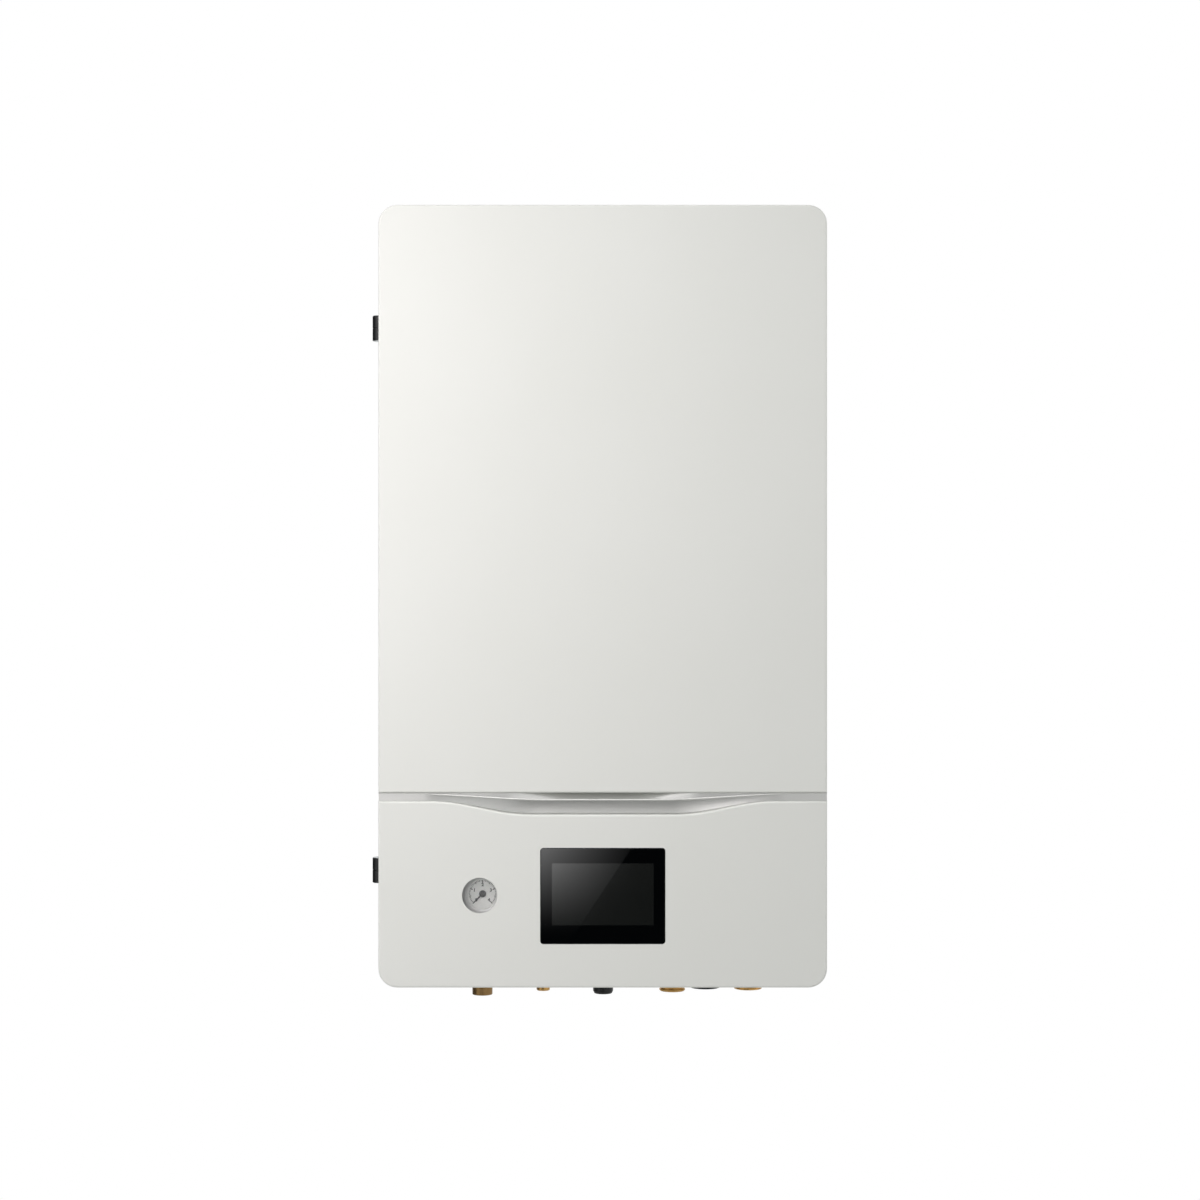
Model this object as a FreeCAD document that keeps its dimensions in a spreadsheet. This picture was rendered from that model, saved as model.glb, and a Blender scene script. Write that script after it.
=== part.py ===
# Wall-hung indoor unit of an air-to-water heat pump, built as the pieces that it comes apart into.
# Frame: +X to the right of someone facing the unit, +Y into the wall, +Z up, in millimetres.
# Origin: on the wall, at the middle of the wall bracket that carries the unit.
import FreeCAD, Part
import math
import os

import Sketcher
from FreeCAD import Placement, Rotation, Vector

# Driving sizes: name, value in millimetres or degrees or a count, and what it measures
SIZES = [
    ("case_width", 450, "casing, side to side"),
    ("case_height", 785, "casing, bottom to top"),
    ("case_depth", 310, "wall to the front face of the door"),
    ("hang_drop", 75, "middle of the wall bracket below the casing's top"),
    ("wall_gap", 14, "wall to the back panel"),
    ("sheet_gauge", 1.2, "casing sheet thickness"),
    ("corner_radius", 19, "casing corners seen from the front"),
    ("fit_gap", 0.3, "clearance between sheet pieces that slide together"),
    ("flange_width", 30, "side panel's folded edge at the top and bottom"),
    ("lap_width", 12, "top and bottom plates under the side panels' edges"),
    ("pan_depth", 20, "back panel's folded rim"),
    ("frame_width", 22, "front frame's rim"),
    ("frame_corner", 6, "front frame's inner corners"),
    ("seal_inset", 10, "front frame's edge to the door seal"),
    ("seal_width", 9, "door seal, across"),
    ("seal_gap", 0.6, "seal to the closed door"),
    ("door_depth", 42, "door, front to back"),
    ("door_gap", 2.6, "seam between the door and the casing"),
    ("door_sheet", 1.5, "door skin thickness"),
    ("edge_round", 2.2, "rounding of the door's front edges"),
    ("lower_height", 187, "lower door panel at its sides"),
    ("strip_height", 8.5, "grip strip at its ends"),
    ("joint_gap", 0.4, "gap between the grip strip and a door panel"),
    ("swoop_drop", 13.5, "how much deeper the strip is at the grip"),
    ("swoop_outer", 155, "middle to the outer end of the swoop"),
    ("swoop_inner", 90, "middle to the inner end of the swoop"),
    ("swoop_roundness", 3, "bends of the dip's edge, as a multiple of its slope's run"),
    ("grip_depth", 15, "finger scoop, front to back"),
    ("scoop_land", 2.2, "strip's edge to the finger hollow"),
    ("strip_depth", 22, "grip strip moulding, front to back"),
    ("strip_setback", 1, "grip strip behind the door's face"),
    ("lip_height", 5.6, "rolled lip above the finger scoop"),
    ("hinge_height", 25, "hinge barrel, both knuckles"),
    ("hinge_spread", 552, "upper hinge to lower hinge"),
    ("hinge_shift", 3, "hinges' middle below the casing's middle"),
    ("barrel_diameter", 18.5, "hinge barrel"),
    ("hinge_pin", 5, "hinge pin diameter"),
    ("running_gap", 0.05, "shaft to bore, on the radius"),
    ("hinge_leaf", 3, "hinge leaf thickness"),
    ("leaf_reach", 32, "hinge leaf beyond the barrel's axis"),
    ("notch_gap", 1, "clearance round the hinge barrels"),
    ("bracket_width", 380, "wall bracket, side to side"),
    ("bracket_height", 60, "wall bracket plate, bottom to top"),
    ("bracket_gauge", 2.5, "wall bracket thickness"),
    ("bracket_corner", 4, "wall bracket's corners"),
    ("hook_spacing", 300, "bracket hook to bracket hook"),
    ("hook_width", 50, "bracket hook, side to side"),
    ("hook_rise", 15, "bracket hook above its shelf"),
    ("screw_spacing", 300, "wall screws, side to side"),
    ("screw_rise", 30, "wall screws, upper row to lower row"),
    ("screw_slot", 16, "screw slot, end to end"),
    ("screw_hole", 8, "screw slot, across"),
    ("spacer_diameter", 30, "wall buffer"),
    ("spacer_spacing", 320, "wall buffer to wall buffer"),
    ("spacer_height", 60, "wall buffers above the casing's bottom"),
    ("pipe_depth", 110, "wall to the middle of the pipes"),
    ("hole_gap", 1.5, "clearance round a connection in the bottom plate"),
    ("gas_share", -0.2844, "refrigerant gas connection from the middle, as a share of the width"),
    ("gas_thread", 22.2, "gas flare thread diameter"),
    ("liquid_share", -0.1378, "refrigerant liquid connection, in the same way"),
    ("liquid_thread", 15.9, "liquid flare thread diameter"),
    ("drain_share", 0.0067, "discharge spout, in the same way"),
    ("drain_diameter", 21.9, "discharge spout"),
    ("return_share", 0.1733, "water return connection, in the same way"),
    ("supply_share", 0.3556, "water supply connection, in the same way"),
    ("water_thread", 33.2, "water connection thread diameter"),
    ("cable_share", 0.2378, "cable grommet, in the same way"),
    ("cable_setback", 85, "cable grommet behind the door's face"),
    ("grommet_neck", 28, "cable grommet in the bottom plate"),
    ("display_width", 125, "display glass, side to side"),
    ("display_height", 96, "display glass, bottom to top"),
    ("display_middle", 92, "display's middle above the casing's bottom"),
    ("display_corner", 3, "display glass corners"),
    ("glass_gauge", 2.5, "display glass thickness"),
    ("screen_width", 102, "screen, side to side"),
    ("screen_height", 62, "screen, bottom to top"),
    ("screen_depth", 4, "screen, front to back"),
    ("housing_rim", 6, "display housing beyond the glass"),
    ("housing_depth", 18, "display housing behind the glass"),
    ("board_gap", 5, "free space in front of a circuit board"),
    ("board_gauge", 1.6, "circuit board thickness"),
    ("gauge_share", -0.2689, "pressure gauge, in the same way"),
    ("gauge_height", 92.5, "pressure gauge above the casing's bottom"),
    ("gauge_hole", 35.6, "hole in the door that shows the gauge"),
    ("hole_shift", -2.3, "that hole sideways from the gauge"),
    ("insulation_gauge", 10, "door insulation thickness"),
    ("insulation_margin", 36, "door insulation inside the panel's edges"),
    ("rail_overlap", 14, "door's cross rail beyond the grip, above and below"),
    ("knuckle_gap", 0.3, "gap between a hinge's two halves"),
    ("low_pipe_height", 220, "pump to exchanger pipe above the casing's bottom"),
    ("high_pipe_height", 440, "exchanger to heater pipe above the casing's bottom"),
    ("water_pipe", 22, "water pipes, outside"),
    ("pipe_wall", 1, "wall of the copper pipes"),
    ("gas_pipe", 15.9, "refrigerant gas pipe, outside"),
    ("liquid_pipe", 9.5, "refrigerant liquid pipe, outside"),
    ("gas_drop", 39.2, "gas connection below the casing"),
    ("gas_flats", 27, "gas connection's hexagon across flats"),
    ("liquid_drop", 34.7, "liquid connection below the casing"),
    ("liquid_flats", 19, "liquid connection's hexagon across flats"),
    ("union_hex", 12, "union hexagons, bottom to top"),
    ("cup_depth", 10, "depth that a pipe is brazed into its socket"),
    ("cup_wall", 2, "wall of a brazed socket"),
    ("locknut", 4, "locknuts under the bottom plate, bottom to top"),
    ("locknut_rim", 8, "locknuts' flats beyond the thread, both sides together"),
    ("thread_chamfer", 1, "chamfer at the end of a thread"),
    ("return_drop", 35, "water return below the casing"),
    ("supply_drop", 32.8, "water supply below the casing"),
    ("nipple_hex", 12, "water nipples' hexagon, bottom to top"),
    ("nipple_flats", 38, "water nipples' hexagon across flats"),
    ("nose_diameter", 28.2, "ringed nose of the water return"),
    ("nose_length", 9, "ringed nose, bottom to top"),
    ("nose_groove", 0.8, "depth of the nose's grooves"),
    ("drain_drop", 37.9, "discharge spout below the casing"),
    ("drain_collar", 18, "discharge spout's socket above its flange"),
    ("discharge_tube", 15, "discharge tube, outside"),
    ("grommet_disc", 35, "cable grommet's disc"),
    ("grommet_drop", 13, "cable grommet below the casing"),
    ("cable_bore", 22, "cable grommet's bore"),
    ("pump_height", 120, "pump axis above the casing's bottom"),
    ("pump_ports", 130, "pump, port to port"),
    ("pump_wall", 4, "pump casting wall"),
    ("volute_depth", 40, "pump volute, front to back"),
    ("volute_diameter", 94, "pump volute"),
    ("impeller", 76, "pump impeller"),
    ("pump_shaft", 10, "pump shaft"),
    ("motor_clear", 35.4, "pump motor behind the casing's front edge"),
    ("motor_diameter", 86, "pump motor"),
    ("motor_flange", 10, "pump motor's flange thickness"),
    ("bearing_length", 15, "pump motor's end walls with their bearings"),
    ("stator_wall", 14, "pump motor's stator wall"),
    ("head_width", 94, "pump control head, side to side"),
    ("head_depth", 22, "pump control head, front to back"),
    ("head_corner", 12, "pump control head's corners"),
    ("exchanger_inset", 60, "casing's left side to the middle of the plate heat exchanger"),
    ("exchanger_stack", 80, "plate heat exchanger, side to side"),
    ("port_spacing", 58, "exchanger's water ports to its refrigerant ports"),
    ("port_margin", 28, "exchanger's ports to its plates' edges"),
    ("port_length", 15, "sockets on the exchanger, tank and vessel"),
    ("end_plate", 4, "exchanger's end plates"),
    ("tank_diameter", 100, "heater tank"),
    ("tank_length", 250, "heater tank, bottom to top"),
    ("tank_head", 45, "heater tank's top above the pipe that enters it"),
    ("tank_dome", 14, "heater tank's sloped ends"),
    ("tank_wall", 2, "heater tank wall"),
    ("element_thread", 42, "heater element's thread"),
    ("element_flats", 55, "heater element's hexagon across flats"),
    ("element_hex", 12, "heater element's hexagon, bottom to top"),
    ("element_cap", 34, "heater element's cap"),
    ("element_pitch", 20, "heater element, leg to leg"),
    ("element_rod", 8.5, "heater element's legs"),
    ("element_reach", 170, "heater element down into the tank"),
    ("water_bend", 26, "bend radius of the water pipe"),
    ("sensor_length", 70, "flow sensor, bottom to top"),
    ("sensor_reach", 30, "flow sensor's plug towards the front"),
    ("gas_riser", 35, "exchanger's sockets to the upright run of the gas pipe"),
    ("gas_turn_height", 110, "gas pipe's turn above the casing's bottom"),
    ("gas_bend", 24, "bend radius of the gas pipe"),
    ("liquid_riser", 12, "exchanger's sockets to the upright run of the liquid pipe"),
    ("liquid_turn_height", 60, "liquid pipe's turn above the casing's bottom"),
    ("liquid_bend", 14, "bend radius of the liquid pipe"),
    ("vessel_share", -0.0889, "expansion vessel, in the same way"),
    ("vessel_drop", 140, "expansion vessel's middle below the casing's top"),
    ("vessel_diameter", 240, "expansion vessel"),
    ("vessel_depth", 110, "expansion vessel, front to back"),
    ("vessel_shoulder", 24, "expansion vessel's sloped rims"),
    ("vessel_seam", 5, "seam round the expansion vessel"),
    ("vessel_tube", 12, "expansion vessel's pipe, outside"),
    ("carrier_width", 50, "brackets on the back panel"),
    ("vent_share", 0.0889, "air vent, in the same way"),
    ("vent_neck", 10, "air vent above its pipe"),
    ("vent_diameter", 34, "air vent"),
    ("vent_height", 52, "air vent, bottom to top"),
    ("vent_nose", 10, "air vent's threaded nose"),
    ("vent_cap", 13, "air vent's cap, bottom to top"),
    ("valve_drop", 46, "safety valve below its pipe"),
    ("valve_bonnet", 28, "safety valve's bonnet"),
    ("valve_reach", 40, "safety valve's bonnet in front of the pipes"),
    ("valve_stem", 6, "safety valve's stem"),
    ("valve_outlet", 40, "safety valve down to its outlet"),
    ("stem_depth", 12, "depth of a stem in its bore"),
    ("knob_length", 20, "safety valve's knob, front to back"),
    ("knob_flats", 30, "safety valve's knob across flats"),
    ("gauge_setback", 10.5, "pressure gauge behind the door's face"),
    ("gauge_diameter", 42, "pressure gauge"),
    ("gauge_body", 24, "pressure gauge's wide body, front to back"),
    ("gauge_plate_gap", 3.4, "gauge bracket behind the casing's front edge"),
    ("gauge_plate", 52, "gauge bracket, side to side"),
    ("gauge_foot", 26, "gauge bracket's foot, front to back"),
    ("gauge_neck", 12, "pressure gauge's neck"),
    ("bezel_depth", 1.4, "gauge lens behind the bezel's face"),
    ("bezel_lip", 1.6, "bezel over the edge of the lens"),
    ("lens_gauge", 1.2, "gauge lens thickness"),
    ("pointer_room", 3, "gauge lens to dial"),
    ("dial_gauge", 0.8, "gauge dial thickness"),
    ("dial_diameter", 34, "gauge dial and lens"),
    ("pointer_spindle", 2, "gauge pointer's spindle"),
    ("pointer_hub", 7, "gauge pointer's hub"),
    ("pointer_reach", 12.4, "gauge pointer's middle to its tip"),
    ("pointer_tail", 6, "gauge pointer's middle to its tail"),
    ("tap_share", -0.1, "gauge tapping on the lower pipe, in the same way"),
    ("capillary", 4, "gauge tube, outside"),
    ("capillary_run", 40, "gauge tube straight back from the gauge"),
    ("capillary_bend", 14, "bend radius of the gauge tube"),
    ("control_setback", 3.4, "control box behind the hinge barrels"),
    ("control_gap", 1.8, "control box to the hinge leaves"),
    ("control_clear", 7, "control box to the expansion vessel behind it"),
    ("control_height", 510, "control box above the casing's bottom"),
    ("control_tall", 255, "control box, bottom to top"),
    ("control_tab", 20, "control box's tabs to the side panels"),
    ("slot_width", 60, "cooling and cable slots, side to side"),
    ("slot_height", 5, "cooling slots, bottom to top"),
    ("slot_pitch", 11, "cooling slot to cooling slot"),
    ("board_margin", 14, "circuit board inside its box"),
    ("terminal_count", 8, "terminals in the row"),
    ("relay_pitch", 34, "relay to relay"),
    ("relay_width", 16, "relays, side to side"),
    ("relay_length", 30, "relays, bottom to top"),
    ("relay_rise", 16, "relays above the board"),
    ("coil_diameter", 34, "coils on the board"),
    ("terminal_height", 44, "terminal block, bottom to top"),
    ("terminal_pitch", 12, "terminal to terminal"),
    ("terminal_depth", 40, "terminal block, front to back"),
    ("cutout_width", 28, "overheat cut-out, each way"),
    ("reset_share", 0.3556, "reset button, in the same way"),
    ("reset_height", 110, "reset button above the control box's bottom"),
    ("reset_button", 10, "reset button"),
    ("reset_rise", 2.6, "reset button in front of the cover"),
    ("reset_stroke", 2, "reset button's travel"),
    ("screw_inset", 45, "casing screws inside the panels' edges"),
    ("screw_size", 4, "casing screws' shank"),
    ("screw_head", 2.2, "casing screws' head height"),
    ("screw_length", 9, "casing screws below their head"),
]


class Size:
    """A number from the sheet, or worked out from such numbers, with the formula that gives it."""

    def __init__(self, value, text):
        self.value = value
        self.text = text

    def __add__(self, other):
        other = as_size(other)
        return Size(self.value + other.value, f"({self.text} + {other.text})")

    def __sub__(self, other):
        other = as_size(other)
        return Size(self.value - other.value, f"({self.text} - {other.text})")

    def __mul__(self, other):
        other = as_size(other)
        return Size(self.value * other.value, f"({self.text} * {other.text})")

    def __truediv__(self, other):
        other = as_size(other)
        return Size(self.value / other.value, f"({self.text} / {other.text})")

    def __radd__(self, other):
        return as_size(other) + self

    def __rsub__(self, other):
        return as_size(other) - self

    def __rmul__(self, other):
        return as_size(other) * self

    def __neg__(self):
        return Size(-self.value, f"(0 - {self.text})")


def as_size(number):
    """A plain number as a Size; a Size stays as it is."""
    return number if isinstance(number, Size) else Size(float(number), repr(float(number)))


doc = FreeCAD.newDocument("HeatPumpIndoorUnit")
sheet = doc.addObject("Spreadsheet::Sheet", "Sizes")
for row, (alias, number, meaning) in enumerate(SIZES, 1):
    sheet.set(f"A{row}", alias)
    sheet.set(f"B{row}", str(number))
    sheet.setAlias(f"B{row}", alias)
    sheet.set(f"C{row}", meaning)
doc.recompute()


class Sheet:
    """Every size of the sheet as an attribute, such as s.case_width."""

    def __init__(self):
        for alias, _, _ in SIZES:
            setattr(self, alias, Size(float(sheet.get(alias)), f"Sizes.{alias}"))


s = Sheet()
parts = {}


def keep(label, piece):
    """Name a finished sub-part; its label is its file's name."""
    piece.Label = label
    parts[label] = piece
    return piece


def bind(piece, prop, size):
    """Tie a property to the sheet by the size's formula."""
    piece.setExpression(prop, as_size(size).text)


def place(piece, x, y, z, rotation=None):
    """Put a piece at a point that follows the sheet."""
    spot = [as_size(c) for c in (x, y, z)]
    piece.Placement = Placement(Vector(*[c.value for c in spot]), rotation or Rotation())
    for axis, size in zip("xyz", spot):
        bind(piece, f"Placement.Base.{axis}", size)


def box(x, y, z):
    """A block between the low and high ends given for each axis."""
    piece = doc.addObject("Part::Box", "Block")
    for prop, (low, high) in zip(("Length", "Width", "Height"), (x, y, z)):
        bind(piece, prop, as_size(high) - low)
    place(piece, x[0], y[0], z[0])
    return piece


TURN_TO = {
    "x": Rotation(Vector(0, 1, 0), 90),
    "y": Rotation(Vector(1, 0, 0), -90),
    "z": Rotation(),
}


def along(axis, centre, low):
    """The point at `low` on a line along an axis; centre holds the other two coordinates in order."""
    first, second = centre
    return {"x": (low, first, second), "y": (first, low, second), "z": (first, second, low)}[axis]


def rod(axis, span, centre, radius):
    """A round bar along an axis between the two ends of its span."""
    piece = doc.addObject("Part::Cylinder", "Rod")
    bind(piece, "Radius", radius)
    bind(piece, "Height", as_size(span[1]) - span[0])
    place(piece, *along(axis, centre, span[0]), TURN_TO[axis])
    return piece


def taper(axis, span, centre, radius_low, radius_high):
    """A round bar whose radius runs from one value to another."""
    piece = doc.addObject("Part::Cone", "Taper")
    bind(piece, "Radius1", radius_low)
    bind(piece, "Radius2", radius_high)
    bind(piece, "Height", as_size(span[1]) - span[0])
    place(piece, *along(axis, centre, span[0]), TURN_TO[axis])
    return piece


def hexagon(axis, span, centre, across_flats):
    """A hexagonal bar along an axis."""
    piece = doc.addObject("Part::Prism", "Hexagon")
    piece.Polygon = 6
    bind(piece, "Circumradius", as_size(across_flats) / math.sqrt(3))
    bind(piece, "Height", as_size(span[1]) - span[0])
    place(piece, *along(axis, centre, span[0]), TURN_TO[axis])
    return piece


def join(*pieces):
    """One solid from pieces that overlap or touch, or one group from pieces that don't."""
    piece = doc.addObject("Part::MultiFuse", "Joined")
    piece.Shapes = list(pieces)
    piece.Refine = True
    return piece


def cut(base, *tools):
    """The base with every tool's space taken out of it."""
    piece = doc.addObject("Part::Cut", "Trimmed")
    piece.Base = base
    piece.Tool = tools[0] if len(tools) == 1 else join(*tools)
    piece.Refine = True
    return piece


def group(*pieces):
    """Separate solids that share a node."""
    piece = doc.addObject("Part::Compound", "Group")
    piece.Links = list(pieces)
    return piece


PLANE_ROLE = {"front": "XZ_Plane", "top": "XY_Plane", "side": "YZ_Plane"}


def new_body(label):
    """A body whose features add up to one sub-part."""
    return keep(label, doc.addObject("PartDesign::Body", label))


def new_sketch(body, plane, offset):
    """A sketch on one of the body's planes. A front sketch faces -Y, so its offset is a distance from the wall."""
    sketch = body.newObject("Sketcher::SketchObject", "Outline")
    origin = [f for f in body.Origin.OriginFeatures if f.Role == PLANE_ROLE[plane]]
    sketch.AttachmentSupport = (origin[0], "")
    sketch.MapMode = "FlatFace"
    bind(sketch, "AttachmentOffset.Base.z", offset)
    return sketch


def fix_point(sketch, geometry, end, x, y):
    """Hold a sketch point at a place that follows the sheet."""
    for kind, size in (("DistanceX", as_size(x)), ("DistanceY", as_size(y))):
        index = sketch.addConstraint(Sketcher.Constraint(kind, geometry, end, size.value))
        sketch.setExpression(f"Constraints[{index}]", size.text)


def draw_circle(sketch, x, y, radius):
    """A circle held by its centre and radius."""
    x, y, radius = as_size(x), as_size(y), as_size(radius)
    circle = Part.Circle(Vector(x.value, y.value, 0), Vector(0, 0, 1), radius.value)
    geometry = sketch.addGeometry(circle)
    fix_point(sketch, geometry, 3, x, y)
    index = sketch.addConstraint(Sketcher.Constraint("Radius", geometry, radius.value))
    sketch.setExpression(f"Constraints[{index}]", radius.text)


def draw_polygon(sketch, corners):
    """A closed outline through corners (x, y, radius), anticlockwise; a radius rounds its corner."""
    corners = [[as_size(c) for c in (*corner, 0)[:3]] for corner in corners]
    spots = [Vector(x.value, y.value, 0) for x, y, _ in corners]
    count = len(corners)
    starts, ends, bends = list(spots), list(spots), {}
    for i, (_, _, radius) in enumerate(corners):
        if radius.value <= 0:
            continue
        into = (spots[i] - spots[i - 1]).normalize()
        out = (spots[(i + 1) % count] - spots[i]).normalize()
        reach = radius.value * math.tan(into.getAngle(out) / 2)
        ends[i] = spots[i] - into * reach
        starts[i] = spots[i] + out * reach
        left_turn = into.cross(out).z > 0
        normal = Vector(-into.y, into.x, 0) * (1 if left_turn else -1)
        centre = ends[i] + normal * radius.value
        first, last = (ends[i], starts[i]) if left_turn else (starts[i], ends[i])
        angles = [math.atan2(p.y - centre.y, p.x - centre.x) for p in (first, last)]
        circle = Part.Circle(centre, Vector(0, 0, 1), radius.value)
        bends[i] = (Part.ArcOfCircle(circle, *angles), left_turn)
    line = [sketch.addGeometry(Part.LineSegment(starts[i], ends[(i + 1) % count])) for i in range(count)]
    for i, (x, y, radius) in enumerate(corners):
        before, after = line[i - 1], line[i]
        if i not in bends:
            sketch.addConstraint(Sketcher.Constraint("Coincident", before, 2, after, 1))
            fix_point(sketch, after, 1, x, y)
            continue
        arc, left_turn = bends[i]
        bend = sketch.addGeometry(arc)
        head, tail = (1, 2) if left_turn else (2, 1)
        sketch.addConstraint(Sketcher.Constraint("Tangent", before, 2, bend, head))
        sketch.addConstraint(Sketcher.Constraint("Tangent", after, 1, bend, tail))
        index = sketch.addConstraint(Sketcher.Constraint("Radius", bend, radius.value))
        sketch.setExpression(f"Constraints[{index}]", radius.text)
        corner = sketch.addGeometry(Part.Point(spots[i]), True)
        fix_point(sketch, corner, 1, x, y)
        for side in (before, after):
            sketch.addConstraint(Sketcher.Constraint("PointOnObject", corner, 1, side))


def draw_rectangle(sketch, x, y, radius=0):
    """A rectangle between low and high ends, with its corners rounded."""
    draw_polygon(sketch, [(x[0], y[0], radius), (x[1], y[0], radius), (x[1], y[1], radius), (x[0], y[1], radius)])


def draw_slot(sketch, x, y, length, width):
    """A slot with round ends, centred on a point and lying along the sketch's first axis."""
    half = as_size(width) / 2
    x, y, run = as_size(x), as_size(y), as_size(length) / 2 - half
    draw_polygon(sketch, [
        (x - run - half, y - half, half * 0.999), (x + run + half, y - half, half * 0.999),
        (x + run + half, y + half, half * 0.999), (x - run - half, y + half, half * 0.999),
    ])


def pad(body, sketch, length, reverse=False):
    """Grow the sketch into the body along its normal, or against it."""
    feature = body.newObject("PartDesign::Pad", "Pad")
    feature.Profile = sketch
    bind(feature, "Length", length)
    feature.Reversed = reverse
    sketch.Visibility = False
    return feature


def pocket(body, sketch, depth, reverse=False):
    """Cut the sketch out of the body against its normal, or along it; it has to take material away."""
    doc.recompute()
    before = body.Shape.Volume
    feature = body.newObject("PartDesign::Pocket", "Pocket")
    feature.Profile = sketch
    bind(feature, "Length", depth)
    feature.Reversed = reverse
    doc.recompute()
    if body.Shape.Volume >= before:
        raise RuntimeError(f"a pocket in {body.Label} cuts nothing")
    return feature


def round_edges(body, radius, wanted):
    """Round the body's edges that `wanted` picks."""
    doc.recompute()
    last = body.Tip
    names = [f"Edge{i}" for i, edge in enumerate(last.Shape.Edges, 1) if wanted(edge)]
    feature = body.newObject("PartDesign::Fillet", "Rounding")
    feature.Base = (last, names)
    bind(feature, "Radius", radius)
    doc.recompute()
    return feature


def path_through(points, radius):
    """A wire of straight runs through the points, with an arc of the given radius at each bend."""
    edges = []
    start = points[0]
    for before, corner, after in zip(points, points[1:], points[2:]):
        into = (corner - before).normalize()
        out = (after - corner).normalize()
        turn = into.getAngle(out)
        reach = radius * math.tan(turn / 2)
        bend_start = corner - into * reach
        bend_end = corner + out * reach
        inward = (out - into).normalize()
        middle = corner + inward * (radius / math.cos(turn / 2) - radius)
        edges.append(Part.LineSegment(start, bend_start).toShape())
        edges.append(Part.Arc(bend_start, middle, bend_end).toShape())
        start = bend_end
    edges.append(Part.LineSegment(start, points[-1]).toShape())
    return Part.Wire(edges)


def swept(path, radius):
    """A round bar of that radius along a path."""
    first = path.Edges[0]
    heading = first.tangentAt(first.FirstParameter)
    ring = Part.Wire([Part.makeCircle(radius, path.Vertexes[0].Point, heading)])
    return path.makePipeShell([ring], True, False)


def tube(points, outside, wall, bend):
    """A bent pipe through points given in sizes."""
    spots = [Vector(*[as_size(c).value for c in point]) for point in points]
    path = path_through(spots, as_size(bend).value)
    radius = as_size(outside).value / 2
    solid = swept(path, radius)
    if as_size(wall).value > 0:
        solid = solid.cut(swept(path, radius - as_size(wall).value))
    piece = doc.addObject("Part::Feature", "Tube")
    piece.Shape = solid
    return piece


# Planes that every piece is placed from
LEFT = -s.case_width / 2
RIGHT = s.case_width / 2
TOP = s.hang_drop
BOTTOM = s.hang_drop - s.case_height
MIDDLE = (TOP + BOTTOM) / 2
FRONT = -s.case_depth
DOOR_REAR = FRONT + s.door_depth
CASE_FRONT = DOOR_REAR + s.door_gap
BACK = -s.wall_gap
INSIDE_BACK = BACK - s.sheet_gauge
INSIDE_LEFT = LEFT + s.sheet_gauge
INSIDE_RIGHT = RIGHT - s.sheet_gauge
FLOOR = BOTTOM + 2 * s.sheet_gauge
CEILING = TOP - 2 * s.sheet_gauge
STRIP_BOTTOM = BOTTOM + s.lower_height
STRIP_TOP = STRIP_BOTTOM + s.strip_height
HINGE_X = LEFT
HINGE_Y = (DOOR_REAR + CASE_FRONT) / 2
HINGE_MIDDLE = MIDDLE - s.hinge_shift
HINGE_HEIGHTS = (HINGE_MIDDLE + s.hinge_spread / 2, HINGE_MIDDLE - s.hinge_spread / 2)
BARREL = s.barrel_diameter / 2
CASE_RUN = BACK - CASE_FRONT
SWOOP_RADIUS = (s.swoop_outer - s.swoop_inner) * s.swoop_roundness
GAS_X, LIQUID_X, DRAIN_X, RETURN_X, SUPPLY_X, CABLE_X, GAUGE_X, VESSEL_X, VENT_X, TAP_X, RESET_X = [
    s.case_width * share for share in (
        s.gas_share, s.liquid_share, s.drain_share, s.return_share, s.supply_share, s.cable_share,
        s.gauge_share, s.vessel_share, s.vent_share, s.tap_share, s.reset_share,
    )
]
EXCHANGER_X = LEFT + s.exchanger_inset
SCREW_X = tuple(side * (s.case_width / 2 - s.flange_width + s.lap_width / 2) for side in (-1, 1))
SCREW_Y = (BACK - s.screw_inset, CASE_FRONT + s.screw_inset)


def notch_for_hinges(body):
    """Room for the hinge barrels in a piece that they pass."""
    sketch = new_sketch(body, "side", HINGE_X + BARREL + s.notch_gap)
    reach = BARREL + s.notch_gap
    for middle in HINGE_HEIGHTS:
        half = s.hinge_height / 2 + s.notch_gap
        draw_rectangle(sketch, (HINGE_Y - reach, HINGE_Y + reach), (middle - half, middle + half))
    pocket(body, sketch, 2 * reach)


def drill_for_screws(body, columns, level):
    """Holes for the casing screws, down through the sheets below a level."""
    sketch = new_sketch(body, "top", level)
    for x in columns:
        for y in SCREW_Y:
            draw_circle(sketch, x, y, s.screw_size / 2 + 0.1)
    pocket(body, sketch, 6 * s.sheet_gauge)


def side_panel(label, outer, inward):
    """A folded side of the casing; inward is +1 on the left and -1 on the right."""
    body = new_body(label)
    gauge = s.sheet_gauge
    edge = outer + inward * s.flange_width
    inner = outer + inward * gauge
    corners = [
        (edge, TOP), (outer, TOP, s.corner_radius), (outer, BOTTOM, s.corner_radius), (edge, BOTTOM),
        (edge, BOTTOM + gauge), (inner, BOTTOM + gauge, s.corner_radius - gauge),
        (inner, TOP - gauge, s.corner_radius - gauge), (edge, TOP - gauge),
    ]
    sketch = new_sketch(body, "front", s.wall_gap)
    draw_polygon(sketch, corners if inward > 0 else corners[::-1])
    pad(body, sketch, CASE_RUN)
    column = SCREW_X[:1] if inward > 0 else SCREW_X[1:]
    drill_for_screws(body, column, TOP + s.sheet_gauge)
    drill_for_screws(body, column, FLOOR + s.sheet_gauge)
    return body


notch_for_hinges(side_panel("left_side_panel", LEFT, 1))
side_panel("right_side_panel", RIGHT, -1)


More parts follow.
